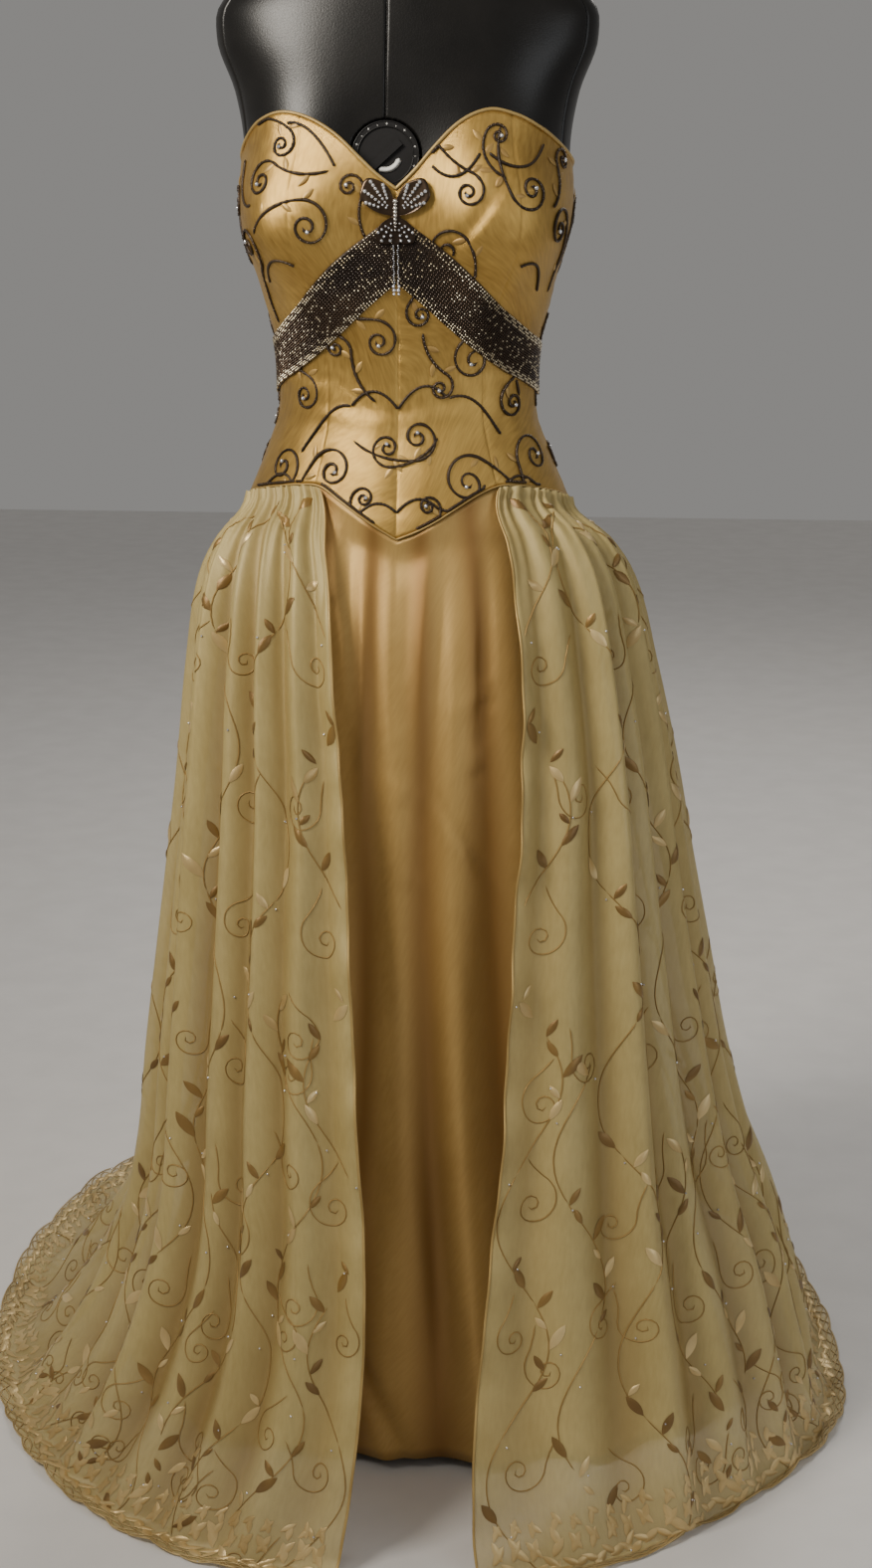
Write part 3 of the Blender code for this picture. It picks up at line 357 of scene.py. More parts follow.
def mesh_object(name: str, points: np.ndarray, faces: np.ndarray, finish: "Finish", slot: str,
                uv: np.ndarray | None = None, body: str = GOWN_BODY, depth: np.ndarray | None = None
                ) -> bpy.types.Object:
    """A smooth piece from whole arrays of points and faces, dressed and riding on a body.

    Args:
        name: the piece's name.
        points: one row of x, y, z for each vertex.
        faces: one row of vertex numbers for each face, all with the same count.
        finish: its material.
        slot: the record's material slot for the piece; not used.
        uv: one row of u, v for each vertex, in metres along the cloth.
        body: the body that it rides on.
        depth: how deep in a fold each vertex lies, from 0 on a ridge to 1 in a valley, kept as the attribute that the
            finish darkens into painted shade.

    Returns:
        The new object.
    """
    mesh = bpy.data.meshes.new(name)
    points, faces = np.asarray(points, np.float32).reshape(-1, 3), np.asarray(faces, np.int32)
    sides = faces.shape[1]
    mesh.vertices.add(len(points))
    mesh.vertices.foreach_set("co", points.ravel())
    mesh.loops.add(faces.size)
    mesh.loops.foreach_set("vertex_index", faces.ravel())
    mesh.polygons.add(len(faces))
    mesh.polygons.foreach_set("loop_start", np.arange(0, faces.size, sides, dtype=np.int32))
    mesh.update(calc_edges=True)
    mesh.polygons.foreach_set("use_smooth", np.ones(len(faces), bool))
    if uv is not None:
        layer = mesh.uv_layers.new(name="cloth")
        layer.uv.foreach_set("vector", np.asarray(uv, np.float32).reshape(-1, 2)[faces.ravel()].ravel())
    # the fold depth goes on the mesh as an attribute that the finish turns into painted shade
    if depth is not None:
        mesh.attributes.new("painted_fold_shade", "FLOAT", "POINT").data.foreach_set("value", depth.astype(np.float32).ravel())
    mesh.materials.append(finish.material())
    obj = bpy.data.objects.new(name, mesh)
    bpy.context.scene.collection.objects.link(obj)
    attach(obj, body)
    return obj


def grid_faces(rows: int, columns: int, closed: bool = False) -> np.ndarray:
    """Quads of a grid of rows and columns; a closed grid joins its last column to its first."""
    index = np.arange(rows * columns).reshape(rows, columns)
    after = np.roll(index, -1, axis=1) if closed else index[:, 1:]
    index = index if closed else index[:, :-1]
    return np.stack([index[:-1], after[:-1], after[1:], index[1:]], -1).reshape(-1, 4)


def cloth_lengths(points: np.ndarray) -> np.ndarray:
    """Metres along a grid of points across and down it, as u and v for each point."""
    across = np.linalg.norm(np.diff(points, axis=1), axis=-1)
    down = np.linalg.norm(np.diff(points, axis=0), axis=-1)
    u = np.concatenate([np.zeros((len(points), 1)), np.cumsum(across, 1)], 1)
    v = np.concatenate([np.zeros((1, points.shape[1])), np.cumsum(down, 0)], 0)
    return np.stack([u, v], -1)


def tubes(paths: np.ndarray, ups: np.ndarray, radius: np.ndarray | float, flat: float = 1.0,
          sides: int = 6) -> tuple[np.ndarray, np.ndarray]:
    """Round or flattened cords along many paths at once: each point gets a ring of r (cos, sin) in the plane across
    the path, and both ends close to a point.

    Args:
        paths: paths by points by 3.
        ups: the direction away from the cloth at each point.
        radius: half the width, one for each point or one for all.
        flat: the height as a share of the width.
        sides: corners in each ring.

    Returns:
        The vertices and the quads.
    """
    paths = np.asarray(paths, float)
    tangent = unit(np.gradient(paths, axis=1))
    across = unit(np.cross(tangent, ups))
    up = np.cross(across, tangent)
    turn = np.linspace(0, 2 * np.pi, sides, endpoint=False)
    wide = np.broadcast_to(np.asarray(radius, float), paths.shape[:2]).copy()
    wide[:, 0] *= 0.05
    wide[:, -1] *= 0.05
    ring = (np.cos(turn)[:, None] * across[:, :, None] + flat * np.sin(turn)[:, None] * up[:, :, None])
    points = paths[:, :, None] + wide[:, :, None, None] * ring
    count, rows = paths.shape[:2]
    return repeated(points.reshape(count, -1, 3), grid_faces(rows, sides, closed=True)[:, ::-1])


def repeated(points: np.ndarray, faces: np.ndarray) -> tuple[np.ndarray, np.ndarray]:
    """One mesh from many shapes (shapes by points by 3) that share one list of faces."""
    numbers = faces[None] + (np.arange(len(points)) * points.shape[1])[:, None, None]
    return points.reshape(-1, 3), numbers.reshape(-1, faces.shape[1])


def join(parts: Sequence[tuple[np.ndarray, np.ndarray]]) -> tuple[np.ndarray, np.ndarray]:
    """One mesh from several that have the same number of corners in each face."""
    starts = np.cumsum([0] + [len(p) for p, _ in parts[:-1]])
    return (np.concatenate([p for p, _ in parts]),
            np.concatenate([f + start for (_, f), start in zip(parts, starts)]))


def copies(shape: tuple[np.ndarray, np.ndarray], places: np.ndarray, across: np.ndarray, along: np.ndarray,
           up: np.ndarray, scale: np.ndarray | float = 1.0) -> tuple[np.ndarray, np.ndarray]:
    """Many copies of a small shape, each set at a place on its own three axes."""
    points, faces = shape
    scale = np.broadcast_to(np.asarray(scale, float), (len(places),))
    axes = np.stack([across, along, up], 1)
    return repeated(places[:, None] + scale[:, None, None] * np.einsum("pk,nkj->npj", points, axes), faces)


def bead(sides: int = 6, rows: int = 4) -> tuple[np.ndarray, np.ndarray]:
    """A small ball of radius 1: rings of cos(latitude) with closed poles."""
    latitude = np.linspace(-0.5 * np.pi, 0.5 * np.pi, rows + 1)
    turn = np.linspace(0, 2 * np.pi, sides, endpoint=False)
    ring = np.maximum(np.cos(latitude), 0.02)[:, None]
    points = np.stack([ring * np.cos(turn), ring * np.sin(turn), np.sin(latitude)[:, None] + 0 * turn], -1)
    return points.reshape(-1, 3), grid_faces(rows + 1, sides, closed=True)


def level_axes(up: np.ndarray) -> tuple[np.ndarray, np.ndarray]:
    """The level direction across each normal, and the direction that completes the three axes."""
    across = unit(np.cross(np.array([0.0, 0.0, 1.0]) + 0 * up, up))
    return across, np.cross(up, across)


def beads_on(name: str, ball: tuple[int, int], places: np.ndarray, up: np.ndarray, size: np.ndarray | float,
             finish: "Finish", slot: str) -> bpy.types.Object:
    """Beads of these sides and rows, set level on a surface's outward normals."""
    return mesh_object(name, *copies(bead(*ball), places, *level_axes(up), up, size), finish, slot)


def almond(rows: int = 7, columns: int = 5) -> tuple[np.ndarray, np.ndarray]:
    """A leaf of length 1 as a flat grid: half its width is 0.19 sin(pi s)^0.75 at the share s of its length, and the
    third column holds how high it domes, sin(pi s) (1 - c^2).

    Args:
        rows: rows along the leaf.
        columns: columns across it.

    Returns:
        The grid of (along, across, dome) and its quads.
    """
    s = np.linspace(0.0, 1.0, rows)[:, None]
    c = np.linspace(-1.0, 1.0, columns)[None, :]
    wide = 0.19 * np.maximum(np.sin(np.pi * s), 0.03) ** 0.75
    along = s + 0 * c
    return np.stack([along, wide * c, np.sin(np.pi * s) * (1 - c ** 2)], -1), grid_faces(rows, columns)


def scroll(radius: np.ndarray, turns: np.ndarray, tail: np.ndarray, bend: np.ndarray, hand: np.ndarray,
           lean: np.ndarray, steps: int = 56) -> np.ndarray:
    """Scrolls drawn from their outer tails to their centres: the heading is the sum of the curvature along the
    line, which is bend on the tail and 1 / r on the spiral while r shrinks from the radius to a sixth of it.

    Args:
        radius: each spiral's outer radius.
        turns: how many times it goes round.
        tail: the tail's length.
        bend: the tail's curvature, as a share of the spiral's.
        hand: 1 to turn left, -1 to turn right.
        lean: the direction in degrees that the tail sets off in.
        steps: points on each scroll.

    Returns:
        Scrolls by points by 2, each with its centre at the origin.
    """
    radius, turns, tail, bend, hand, lean = (np.asarray(a, float)[:, None] for a in
                                             (radius, turns, tail, bend, hand, lean))
    share = np.linspace(0, 1, steps)[None, :]
    spiral = 2 * np.pi * turns * radius * 0.52
    along = share * (tail + spiral)
    inward = np.clip((along - tail) / spiral, 0, 1)
    curvature = np.where(along < tail, bend / radius, 1 / (radius * (1 - 0.84 * inward)))
    step = (tail + spiral) / (steps - 1)
    heading = np.radians(lean) + hand * np.cumsum(curvature * step, 1)
    line = np.stack([np.cumsum(np.cos(heading) * step, 1), np.cumsum(np.sin(heading) * step, 1)], -1)
    centre = line[:, -8:].mean(1, keepdims=True)
    return line - centre


# Finishes

class Weave(Enum):
    """How a cloth's threads show."""

    PLAIN = 1.0
    SHEER = 2.0


class Nodes:
    """A short way to wire a material's nodes."""

    def __init__(self, name: str) -> None:
        """Starts a material with a Principled shader."""
        self.made = bpy.data.materials.new(name)
        self.made.use_nodes = True
        self.tree = self.made.node_tree
        self.shader = self.tree.nodes["Principled BSDF"]

    def add(self, kind: str, inputs: dict | None = None, **settings: object) -> bpy.types.Node:
        """Adds a node, sets what is stated and links what is a socket."""
        node = self.tree.nodes.new("ShaderNode" + kind)
        for name, value in settings.items():
            setattr(node, name, value)
        for name, value in (inputs or {}).items():
            self.put(node.inputs[name], value)
        return node

    def put(self, socket: bpy.types.NodeSocket, value: object) -> None:
        """Links an input to another node's output, or sets it to a plain value."""
        if isinstance(value, bpy.types.NodeSocket):
            self.tree.links.new(value, socket)
        else:
            socket.default_value = value

    def set(self, **values: object) -> None:
        """Sets or links the shader's own sockets; an underscore in a name stands for a space."""
        for name, value in values.items():
            self.put(self.shader.inputs[name.replace("_", " ")], value)

    def place(self, uv: bool) -> bpy.types.NodeSocket:
        """Where a pattern is read: metres along the cloth, or metres in the piece's own space."""
        return self.add("TexCoord").outputs["UV" if uv else "Object"]

    def noise(self, where: bpy.types.NodeSocket, scale: float, detail: float = 3.0,
              stretch: tuple[float, float, float] = (1, 1, 1)) -> bpy.types.NodeSocket:
        """Cloudy noise from 0 to 1."""
        mapped = self.add("Mapping", {"Vector": where, "Scale": stretch})
        return self.add("TexNoise", {"Vector": mapped.outputs[0], "Scale": scale, "Detail": detail}).outputs["Fac"]

    def wave(self, where: bpy.types.NodeSocket, scale: float, axis: str, distortion: float = 0.0
             ) -> bpy.types.NodeSocket:
        """Fine stripes across one axis."""
        return self.add("TexWave", {"Vector": where, "Scale": scale, "Distortion": distortion},
                        bands_direction=axis).outputs["Fac"]

    def mix(self, share: bpy.types.NodeSocket | float, one: object, two: object) -> bpy.types.NodeSocket:
        """A mix of two colours."""
        node = self.add("Mix", data_type="RGBA")
        for index, value in ((0, share), (6, one), (7, two)):
            self.put(node.inputs[index], (*value, 1.0) if isinstance(value, tuple) else value)
        return node.outputs[2]

    def math(self, kind: str, one: object, two: object) -> bpy.types.NodeSocket:
        """One sum on two values."""
        return self.add("Math", {0: one, 1: two}, operation=kind).outputs[0]

    def span(self, value: bpy.types.NodeSocket, low: float, high: float, start: float = 0.0, end: float = 1.0
             ) -> bpy.types.NodeSocket:
        """The value's range from start to end moved to low to high."""
        return self.add("MapRange", {"Value": value, "From Min": start, "From Max": end, "To Min": low,
                                     "To Max": high}).outputs[0]

    def bump(self, height: bpy.types.NodeSocket, strength: float, distance: float) -> None:
        """Bumps the shader's normal by a height."""
        made = self.add("Bump", {"Height": height, "Strength": strength, "Distance": distance})
        self.set(Normal=made.outputs[0])


class Finish:
    """A material that is made once and shared by the pieces that use it."""

    name: str

    def material(self) -> bpy.types.Material:
        """The finish's material, made at its first use."""
        found = bpy.data.materials.get(self.name)
        return found if found else self.make(Nodes(self.name))

    def make(self, nodes: Nodes) -> bpy.types.Material:
        """Wires the material."""
        raise NotImplementedError


@dataclass(frozen=True)
class ClothFinish(Finish):
    """Woven cloth with cloudy tone, thread marks, a soft shine and, where set, painted shade in the fold valleys."""

    name: str
    light: tuple[float, float, float]
    dark: tuple[float, float, float]
    rough: float = 0.4
    shine: float = 0.3
    metal: float = 0.0
    threads: float = 900.0
    relief: float = 0.0002
    weave: Weave = Weave.PLAIN
    solid: float = 1.0
    # how strongly painted shade darkens the colour in the fold valleys, 0 for none
    valley: float = 0.0

    def make(self, nodes: Nodes) -> bpy.types.Material:
        """Colour from two clouds of noise, painted shade in the fold valleys, relief from crossed stripes, and alpha
        between the threads if sheer.
        """
        where = nodes.place(uv=True)
        clouds = nodes.noise(where, 9.0, 4.0)
        glints = nodes.noise(where, 260.0, 2.0, (1.0, 0.25, 1.0))
        tone = nodes.math("ADD", nodes.math("MULTIPLY", clouds, 0.6), nodes.math("MULTIPLY", glints, 0.4))
        colour = nodes.mix(nodes.span(tone, 0.0, 1.0, 0.3, 0.7), self.dark, self.light)
        # painted shade: towards the fold valleys the colour moves to a darker, warmer copy of the dark tone
        if self.valley:
            deep = nodes.add("Attribute", attribute_name="painted_fold_shade").outputs["Fac"]
            shade = tuple(c * (1 - self.valley) ** (1 + 0.35 * k) for k, c in enumerate(self.dark))
            colour = nodes.mix(nodes.span(deep, 0.0, 1.0), colour, shade)
        nodes.set(Base_Color=colour,
                  Roughness=nodes.span(glints, self.rough - 0.06, self.rough + 0.08),
                  Metallic=self.metal, Sheen_Weight=self.shine, Sheen_Roughness=0.35,
                  Sheen_Tint=(*self.light, 1.0))
        warp, weft = nodes.wave(where, self.threads, "X"), nodes.wave(where, self.threads, "Y")
        threads = nodes.math("ADD", warp, weft)
        nodes.bump(nodes.math("ADD", nodes.math("MULTIPLY", threads, 0.4), glints), 0.35, self.relief)
        if self.weave is Weave.SHEER:
            uneven = nodes.noise(where, 30.0, 3.0)
            down = nodes.add("SeparateXYZ", {0: where}).outputs[1]
            single = nodes.span(down, 0.0, 0.20, 0.98, 1.14)
            alpha = nodes.span(nodes.math("ADD", nodes.math("MULTIPLY", threads, 0.5), uneven),
                               self.solid - 0.10, self.solid + 0.10, 0.4, 1.6)
            nodes.set(Alpha=nodes.math("SUBTRACT", alpha, single))
        return nodes.made


@dataclass(frozen=True)
class HardFinish(Finish):
    """Metal, plastic, vinyl or stone, with light wear and a fine grain."""

    name: str
    light: tuple[float, float, float]
    dark: tuple[float, float, float]
    rough: float = 0.4
    metal: float = 0.0
    coat: float = 0.0
    grain: float = 400.0
    relief: float = 0.0001
    strength: float = 0.2
    gloss: float = 0.5

    def make(self, nodes: Nodes) -> bpy.types.Material:
        """Colour and roughness from slow clouds, relief from a fine grain."""
        where = nodes.place(uv=False)
        clouds = nodes.noise(where, 14.0, 4.0)
        grain = nodes.noise(where, self.grain, 2.0)
        nodes.set(Base_Color=nodes.mix(nodes.span(clouds, 0.0, 1.0, 0.35, 0.65), self.dark, self.light),
                  Roughness=nodes.span(grain, self.rough - 0.04, self.rough + 0.06),
                  Metallic=self.metal, Coat_Weight=self.coat, Coat_Roughness=0.12,
                  Specular_IOR_Level=self.gloss)
        nodes.bump(grain, self.strength, self.relief)
        return nodes.made


BODICE_SATIN = ClothFinish("bodice_satin_cloth", (0.72, 0.46, 0.125), (0.36, 0.205, 0.048), rough=0.33, shine=0.08,
                           metal=0.75)
# the skirt satin and the organza get painted shade in their fold valleys: valley darkens them by 0.35 and 0.30
SKIRT_SATIN = ClothFinish("skirt_satin_cloth", (0.60, 0.385, 0.125), (0.49, 0.30, 0.090), rough=0.33, shine=0.05,
                          metal=0.45, valley=0.35)
SHEER = ClothFinish("organza_cloth", (0.64, 0.51, 0.215), (0.50, 0.385, 0.145), rough=0.42, shine=0.12, metal=0.15,
                    weave=Weave.SHEER, solid=0.80, valley=0.30)
DARK_CORD = HardFinish("dark_corded_thread", (0.075, 0.050, 0.030), (0.028, 0.018, 0.012), rough=0.38, metal=0.45,
                       grain=1400.0, relief=0.0005, strength=0.8)
EDGE_CORD = HardFinish("edge_piping", (0.56, 0.39, 0.14), (0.38, 0.25, 0.08), rough=0.42, metal=0.4, grain=1500.0,
                       relief=0.0004, strength=0.6)
DARK_BEAD = HardFinish("dark_bronze_bead", (0.11, 0.065, 0.035), (0.035, 0.022, 0.016), rough=0.22, metal=0.6,
                       coat=0.5)
LIGHT_BEAD = HardFinish("silver_gold_bead", (0.82, 0.74, 0.58), (0.55, 0.46, 0.30), rough=0.2, metal=0.8, coat=0.4)
STONE = HardFinish("clear_stone", (0.92, 0.92, 0.95), (0.66, 0.68, 0.74), rough=0.08, metal=0.7, coat=1.0,
                   grain=900.0, strength=0.5)
SILVER = HardFinish("silver_setting", (0.72, 0.68, 0.62), (0.35, 0.32, 0.29), rough=0.25, metal=0.95)
VINYL = HardFinish("black_vinyl", (0.012, 0.011, 0.010), (0.006, 0.0055, 0.005), rough=0.31, grain=650.0,
                   relief=0.0003, strength=0.35, gloss=0.30)
PLASTIC = HardFinish("dial_black_plastic", (0.016, 0.015, 0.015), (0.008, 0.008, 0.008), rough=0.36, gloss=0.25)
MARKS = HardFinish("pale_marks", (0.85, 0.84, 0.80), (0.65, 0.64, 0.60), rough=0.5)
STEEL = HardFinish("black_stand_paint", (0.05, 0.05, 0.052), (0.022, 0.022, 0.024), rough=0.3, metal=0.3, coat=0.4)
BRASS = HardFinish("zip_brass", (0.66, 0.50, 0.24), (0.42, 0.30, 0.13), rough=0.28, metal=0.95)
THREAD = HardFinish("bronze_stitching", (0.44, 0.28, 0.09), (0.32, 0.195, 0.055), rough=0.42, metal=0.35,
                    grain=1800.0, relief=0.0003, strength=0.6)
THREAD_GOLD = HardFinish("gold_stitching", (0.66, 0.50, 0.24), (0.46, 0.33, 0.14), rough=0.36, metal=0.4,
                         grain=1800.0, relief=0.0003, strength=0.6)
LEAF_BRONZE = HardFinish("bronze_leaf_stitching", (0.30, 0.18, 0.05), (0.17, 0.095, 0.028), rough=0.36, metal=0.35,
                         grain=1500.0, relief=0.0003, strength=0.6)
LEAF_GOLD = HardFinish("gold_leaf_stitching", (0.74, 0.56, 0.27), (0.50, 0.35, 0.14), rough=0.32, metal=0.4,
                       grain=1500.0, relief=0.0003, strength=0.6)
LEAF_PALE = HardFinish("pale_leaf_stitching", (0.56, 0.36, 0.11), (0.38, 0.23, 0.07), rough=0.40, metal=0.45,
                       grain=1500.0, relief=0.0003, strength=0.6)
WING_METAL = HardFinish("dark_wing_metal", (0.10, 0.065, 0.040), (0.035, 0.024, 0.018), rough=0.28, metal=0.8)
TAPE = ClothFinish("zip_tape_weave", (0.55, 0.43, 0.25), (0.40, 0.30, 0.17), rough=0.7, shine=0.2)


# Sub-assemblies

@dataclass
class Bodice:
    """The satin bodice: one fine shell over the eight panels, its seams, creases and edges."""

    columns: int = 210
    rows: int = 80
    seams: tuple[float, ...] = (-135.0, -90.0, -33.0, 0.0, 39.0, 90.0, 135.0)
    seam_width: float = 0.0011
    seam_depth: float = 0.0006
    thickness: float = 0.0012
    zip_half: float = 0.0042

    def relief(self, degrees: np.ndarray, z: np.ndarray) -> np.ndarray:
        """How far the cloth stands out of the plain shape: seams sink in a narrow bell, and soft creases and
        the slight puckers beside the seams are added."""
        metre = np.radians(1) * BODY.read("half_width", z)
        out = np.zeros(np.broadcast(degrees, z).shape)
        for seam in self.seams:
            away = (degrees - seam) * metre
            out -= self.seam_depth * bell(away, 0, self.seam_width)
            out += 0.00025 * bell(away, 0, 0.006) * np.sin(z * 2 * np.pi / 0.013 + seam) * (np.abs(away) > 0.001)
        out += 0.0007 * wander(degrees * 0.16, z * 55, 1.3)
        for angle, height, tilt, long, wide, deep in CREASES:
            dx, dz = (degrees - angle) * metre, z - height
            lean = math.radians(tilt)
            along = dx * math.cos(lean) + dz * math.sin(lean)
            aside = -dx * math.sin(lean) + dz * math.cos(lean)
            out += deep * bell(along, 0, long) * (bell(aside, 0, wide) - 0.6 * bell(aside, 2.2 * wide, wide))
        return out

    def shell_points(self) -> np.ndarray:
        """The shell's grid: its columns stop at the zip, and its rows run from the basque to the neckline."""
        limit = 180 - math.degrees(self.zip_half / 0.13)
        plain = np.linspace(-limit, limit, self.columns)
        near = np.concatenate([[s - 1.0, s - 0.5, s, s + 0.5, s + 1.0] for s in self.seams])
        degrees = np.unique(np.concatenate([plain, near]))[None, :]
        share = np.linspace(0, 1, self.rows)[:, None]
        low, high = BODY.edge("basque", degrees), BODY.edge("neckline", degrees)
        z = low + (high - low) * share
        degrees = degrees + 0 * z
        return BODY.at(degrees, z, self.relief(degrees, z))

    def build(self) -> None:
        """Makes the shell and its rolled edges."""
        points = self.shell_points()
        shell = mesh_object("bodice_shell", points, grid_faces(*points.shape[:2]), BODICE_SATIN, "bodice_satin",
                            cloth_lengths(points))
        solid = shell.modifiers.new("cloth", "SOLIDIFY")
        solid.thickness, solid.offset = self.thickness, -1
        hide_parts(*(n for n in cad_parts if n.startswith("bodice_")))
        self.edge_cord("neckline_roll", "neckline", 0.0017, 0.0006, EDGE_CORD)
        self.edge_cord("basque_cord", "basque", 0.0009, 0.0006, EDGE_CORD)
        log.info("bodice shell and edges made")

    def edge_cord(self, name: str, edge: str, radius: float, out: float, finish: Finish) -> None:
        """A fine cord along one of the bodice's edges."""
        limit = 180 - math.degrees(self.zip_half / 0.13)
        degrees = np.unique(np.concatenate([np.linspace(-limit, limit, 420), [0.0]]))
        z = BODY.edge(edge, degrees)
        path = BODY.at(degrees, z, out - radius * 0.4)
        mesh_object(name, *tubes(path[None], BODY.normals(degrees, z)[None], radius, 1.0, 8), finish, "bodice_satin")


CREASES = (
    # angle, height, tilt in degrees, half length, half width, height of the ridge
    (29.0, 1.235, 62.0, 0.040, 0.0040, 0.0016),
    (36.0, 1.250, 70.0, 0.030, 0.0050, 0.0012),
    (44.0, 1.178, -35.0, 0.020, 0.0040, 0.0015),
    (22.0, 1.215, 50.0, 0.022, 0.0035, 0.0010),
    (-30.0, 1.245, -65.0, 0.030, 0.0050, 0.0009),
    (-48.0, 1.190, 20.0, 0.022, 0.0045, 0.0010),
    (50.0, 1.090, 8.0, 0.030, 0.0045, 0.0009),
    (-50.0, 1.085, -8.0, 0.030, 0.0045, 0.0009),
    (20.0, 1.060, 5.0, 0.030, 0.0050, 0.0007),
    (-18.0, 1.055, -6.0, 0.030, 0.0050, 0.0007),
)


@dataclass
class ZipTeeth:
    """The closed teeth of the zip on their tape, up to the slider."""

    pitch: float = 0.0021
    low: float = 0.970
    high: float = 1.2432
    offset: float = 0.0007
    size: float = 0.00085
    back: float = 180.0

    def build(self) -> None:
        """Makes one row of teeth for each side, each tooth a ball stretched sideways, in turn left and right."""
        z = np.arange(self.low, self.high, self.pitch / 2)
        side = np.where(np.arange(len(z)) % 2, 1.0, -1.0)
        places = BODY.at(self.back + 0 * z, z, 0.0) + np.stack([side * self.offset, 0 * z, 0 * z], -1)
        up = BODY.normals(self.back + 0 * z, z)
        across, along = level_axes(up)
        made = copies(bead(6, 4), places, 1.9 * across, along, 0.9 * up, self.size)
        mesh_object("zip_teeth", *made, BRASS, "zip_metal")
        log.info("zip teeth: %d", len(z))


@dataclass(frozen=True)
class Curl:
    """One corded scroll of the bodice: where its centre lies, in metres, and how it is drawn."""

    across: float
    height: float
    radius: float
    lean: float
    hand: int
    tail: float = 0.035
    bend: float = -0.3
    turns: float = 1.45


FRONT_CURLS = (
    Curl(-0.070, 1.232, 0.021, 60, -1, 0.050, 0.35), Curl(-0.112, 1.272, 0.017, 200, 1, 0.040),
    Curl(-0.124, 1.214, 0.019, 100, 1, 0.045, -0.4), Curl(-0.098, 1.303, 0.013, 20, -1, 0.034, 0.3),
    Curl(-0.040, 1.268, 0.012, 120, 1, 0.030), Curl(0.042, 1.212, 0.018, 75, 1, 0.045, 0.3),
    Curl(0.087, 1.312, 0.010, 160, -1, 0.036, 0.4), Curl(0.108, 1.262, 0.018, 250, 1, 0.046, 0.25),
    Curl(0.133, 1.230, 0.019, 80, 1, 0.050, 0.2), Curl(0.062, 1.262, 0.015, 300, -1, 0.038, -0.2),
    Curl(0.142, 1.290, 0.012, 40, -1, 0.032), Curl(-0.147, 1.250, 0.015, 330, -1, 0.036),
    Curl(-0.016, 1.128, 0.017, 30, -1, 0.046, 0.2), Curl(0.068, 1.112, 0.024, 100, 1, 0.052, 0.3),
    Curl(-0.058, 1.122, 0.013, 150, 1, 0.040, -0.3), Curl(0.020, 1.152, 0.012, 200, 1, 0.036, 0.2),
    Curl(-0.112, 1.008, 0.021, 70, 1, 0.055, -0.2), Curl(-0.062, 1.010, 0.020, 95, -1, 0.048, 0.2),
    Curl(-0.011, 1.030, 0.015, 240, -1, 0.040, 0.3), Curl(0.020, 1.040, 0.018, 320, 1, 0.046, 0.25),
    Curl(0.064, 1.000, 0.023, 110, 1, 0.055, 0.25), Curl(0.124, 1.020, 0.021, 60, -1, 0.052, -0.2),
    Curl(-0.090, 1.075, 0.016, 10, -1, 0.042, 0.2), Curl(0.104, 1.068, 0.015, 170, 1, 0.042, 0.3),
    Curl(-0.126, 1.050, 0.012, 280, 1, 0.032), Curl(0.030, 0.978, 0.010, 20, 1, 0.030, 0.3),
    Curl(-0.032, 0.985, 0.011, 160, -1, 0.032, 0.3), Curl(0.040, 1.085, 0.012, 270, -1, 0.034),
)
SCALLOPS = (
    # from and to, across and height in metres, and the rise of the arc between them
    (-0.092, 1.022, -0.045, 1.068, 0.014), (-0.045, 1.068, 0.000, 1.066, 0.015), (0.000, 1.066, 0.046, 1.076, 0.016),
    (0.046, 1.076, 0.096, 1.040, 0.014), (-0.078, 0.990, -0.038, 0.968, -0.011), (-0.038, 0.968, 0.000, 0.972, 0.010),
    (0.000, 0.972, 0.040, 0.975, 0.011), (0.040, 0.975, 0.086, 0.996, -0.010), (-0.140, 0.985, -0.098, 0.992, 0.012),
    (0.098, 0.994, 0.140, 0.984, 0.012), (-0.100, 1.322, -0.050, 1.284, 0.012), (0.030, 1.285, 0.074, 1.296, -0.014),
    (0.074, 1.296, 0.132, 1.304, -0.016), (-0.148, 1.290, -0.112, 1.250, -0.014), (0.090, 1.196, 0.130, 1.172, 0.012),
    (-0.120, 1.180, -0.076, 1.196, 0.012), (-0.130, 1.100, -0.118, 1.065, -0.010), (0.118, 1.098, 0.128, 1.060, 0.010),
)


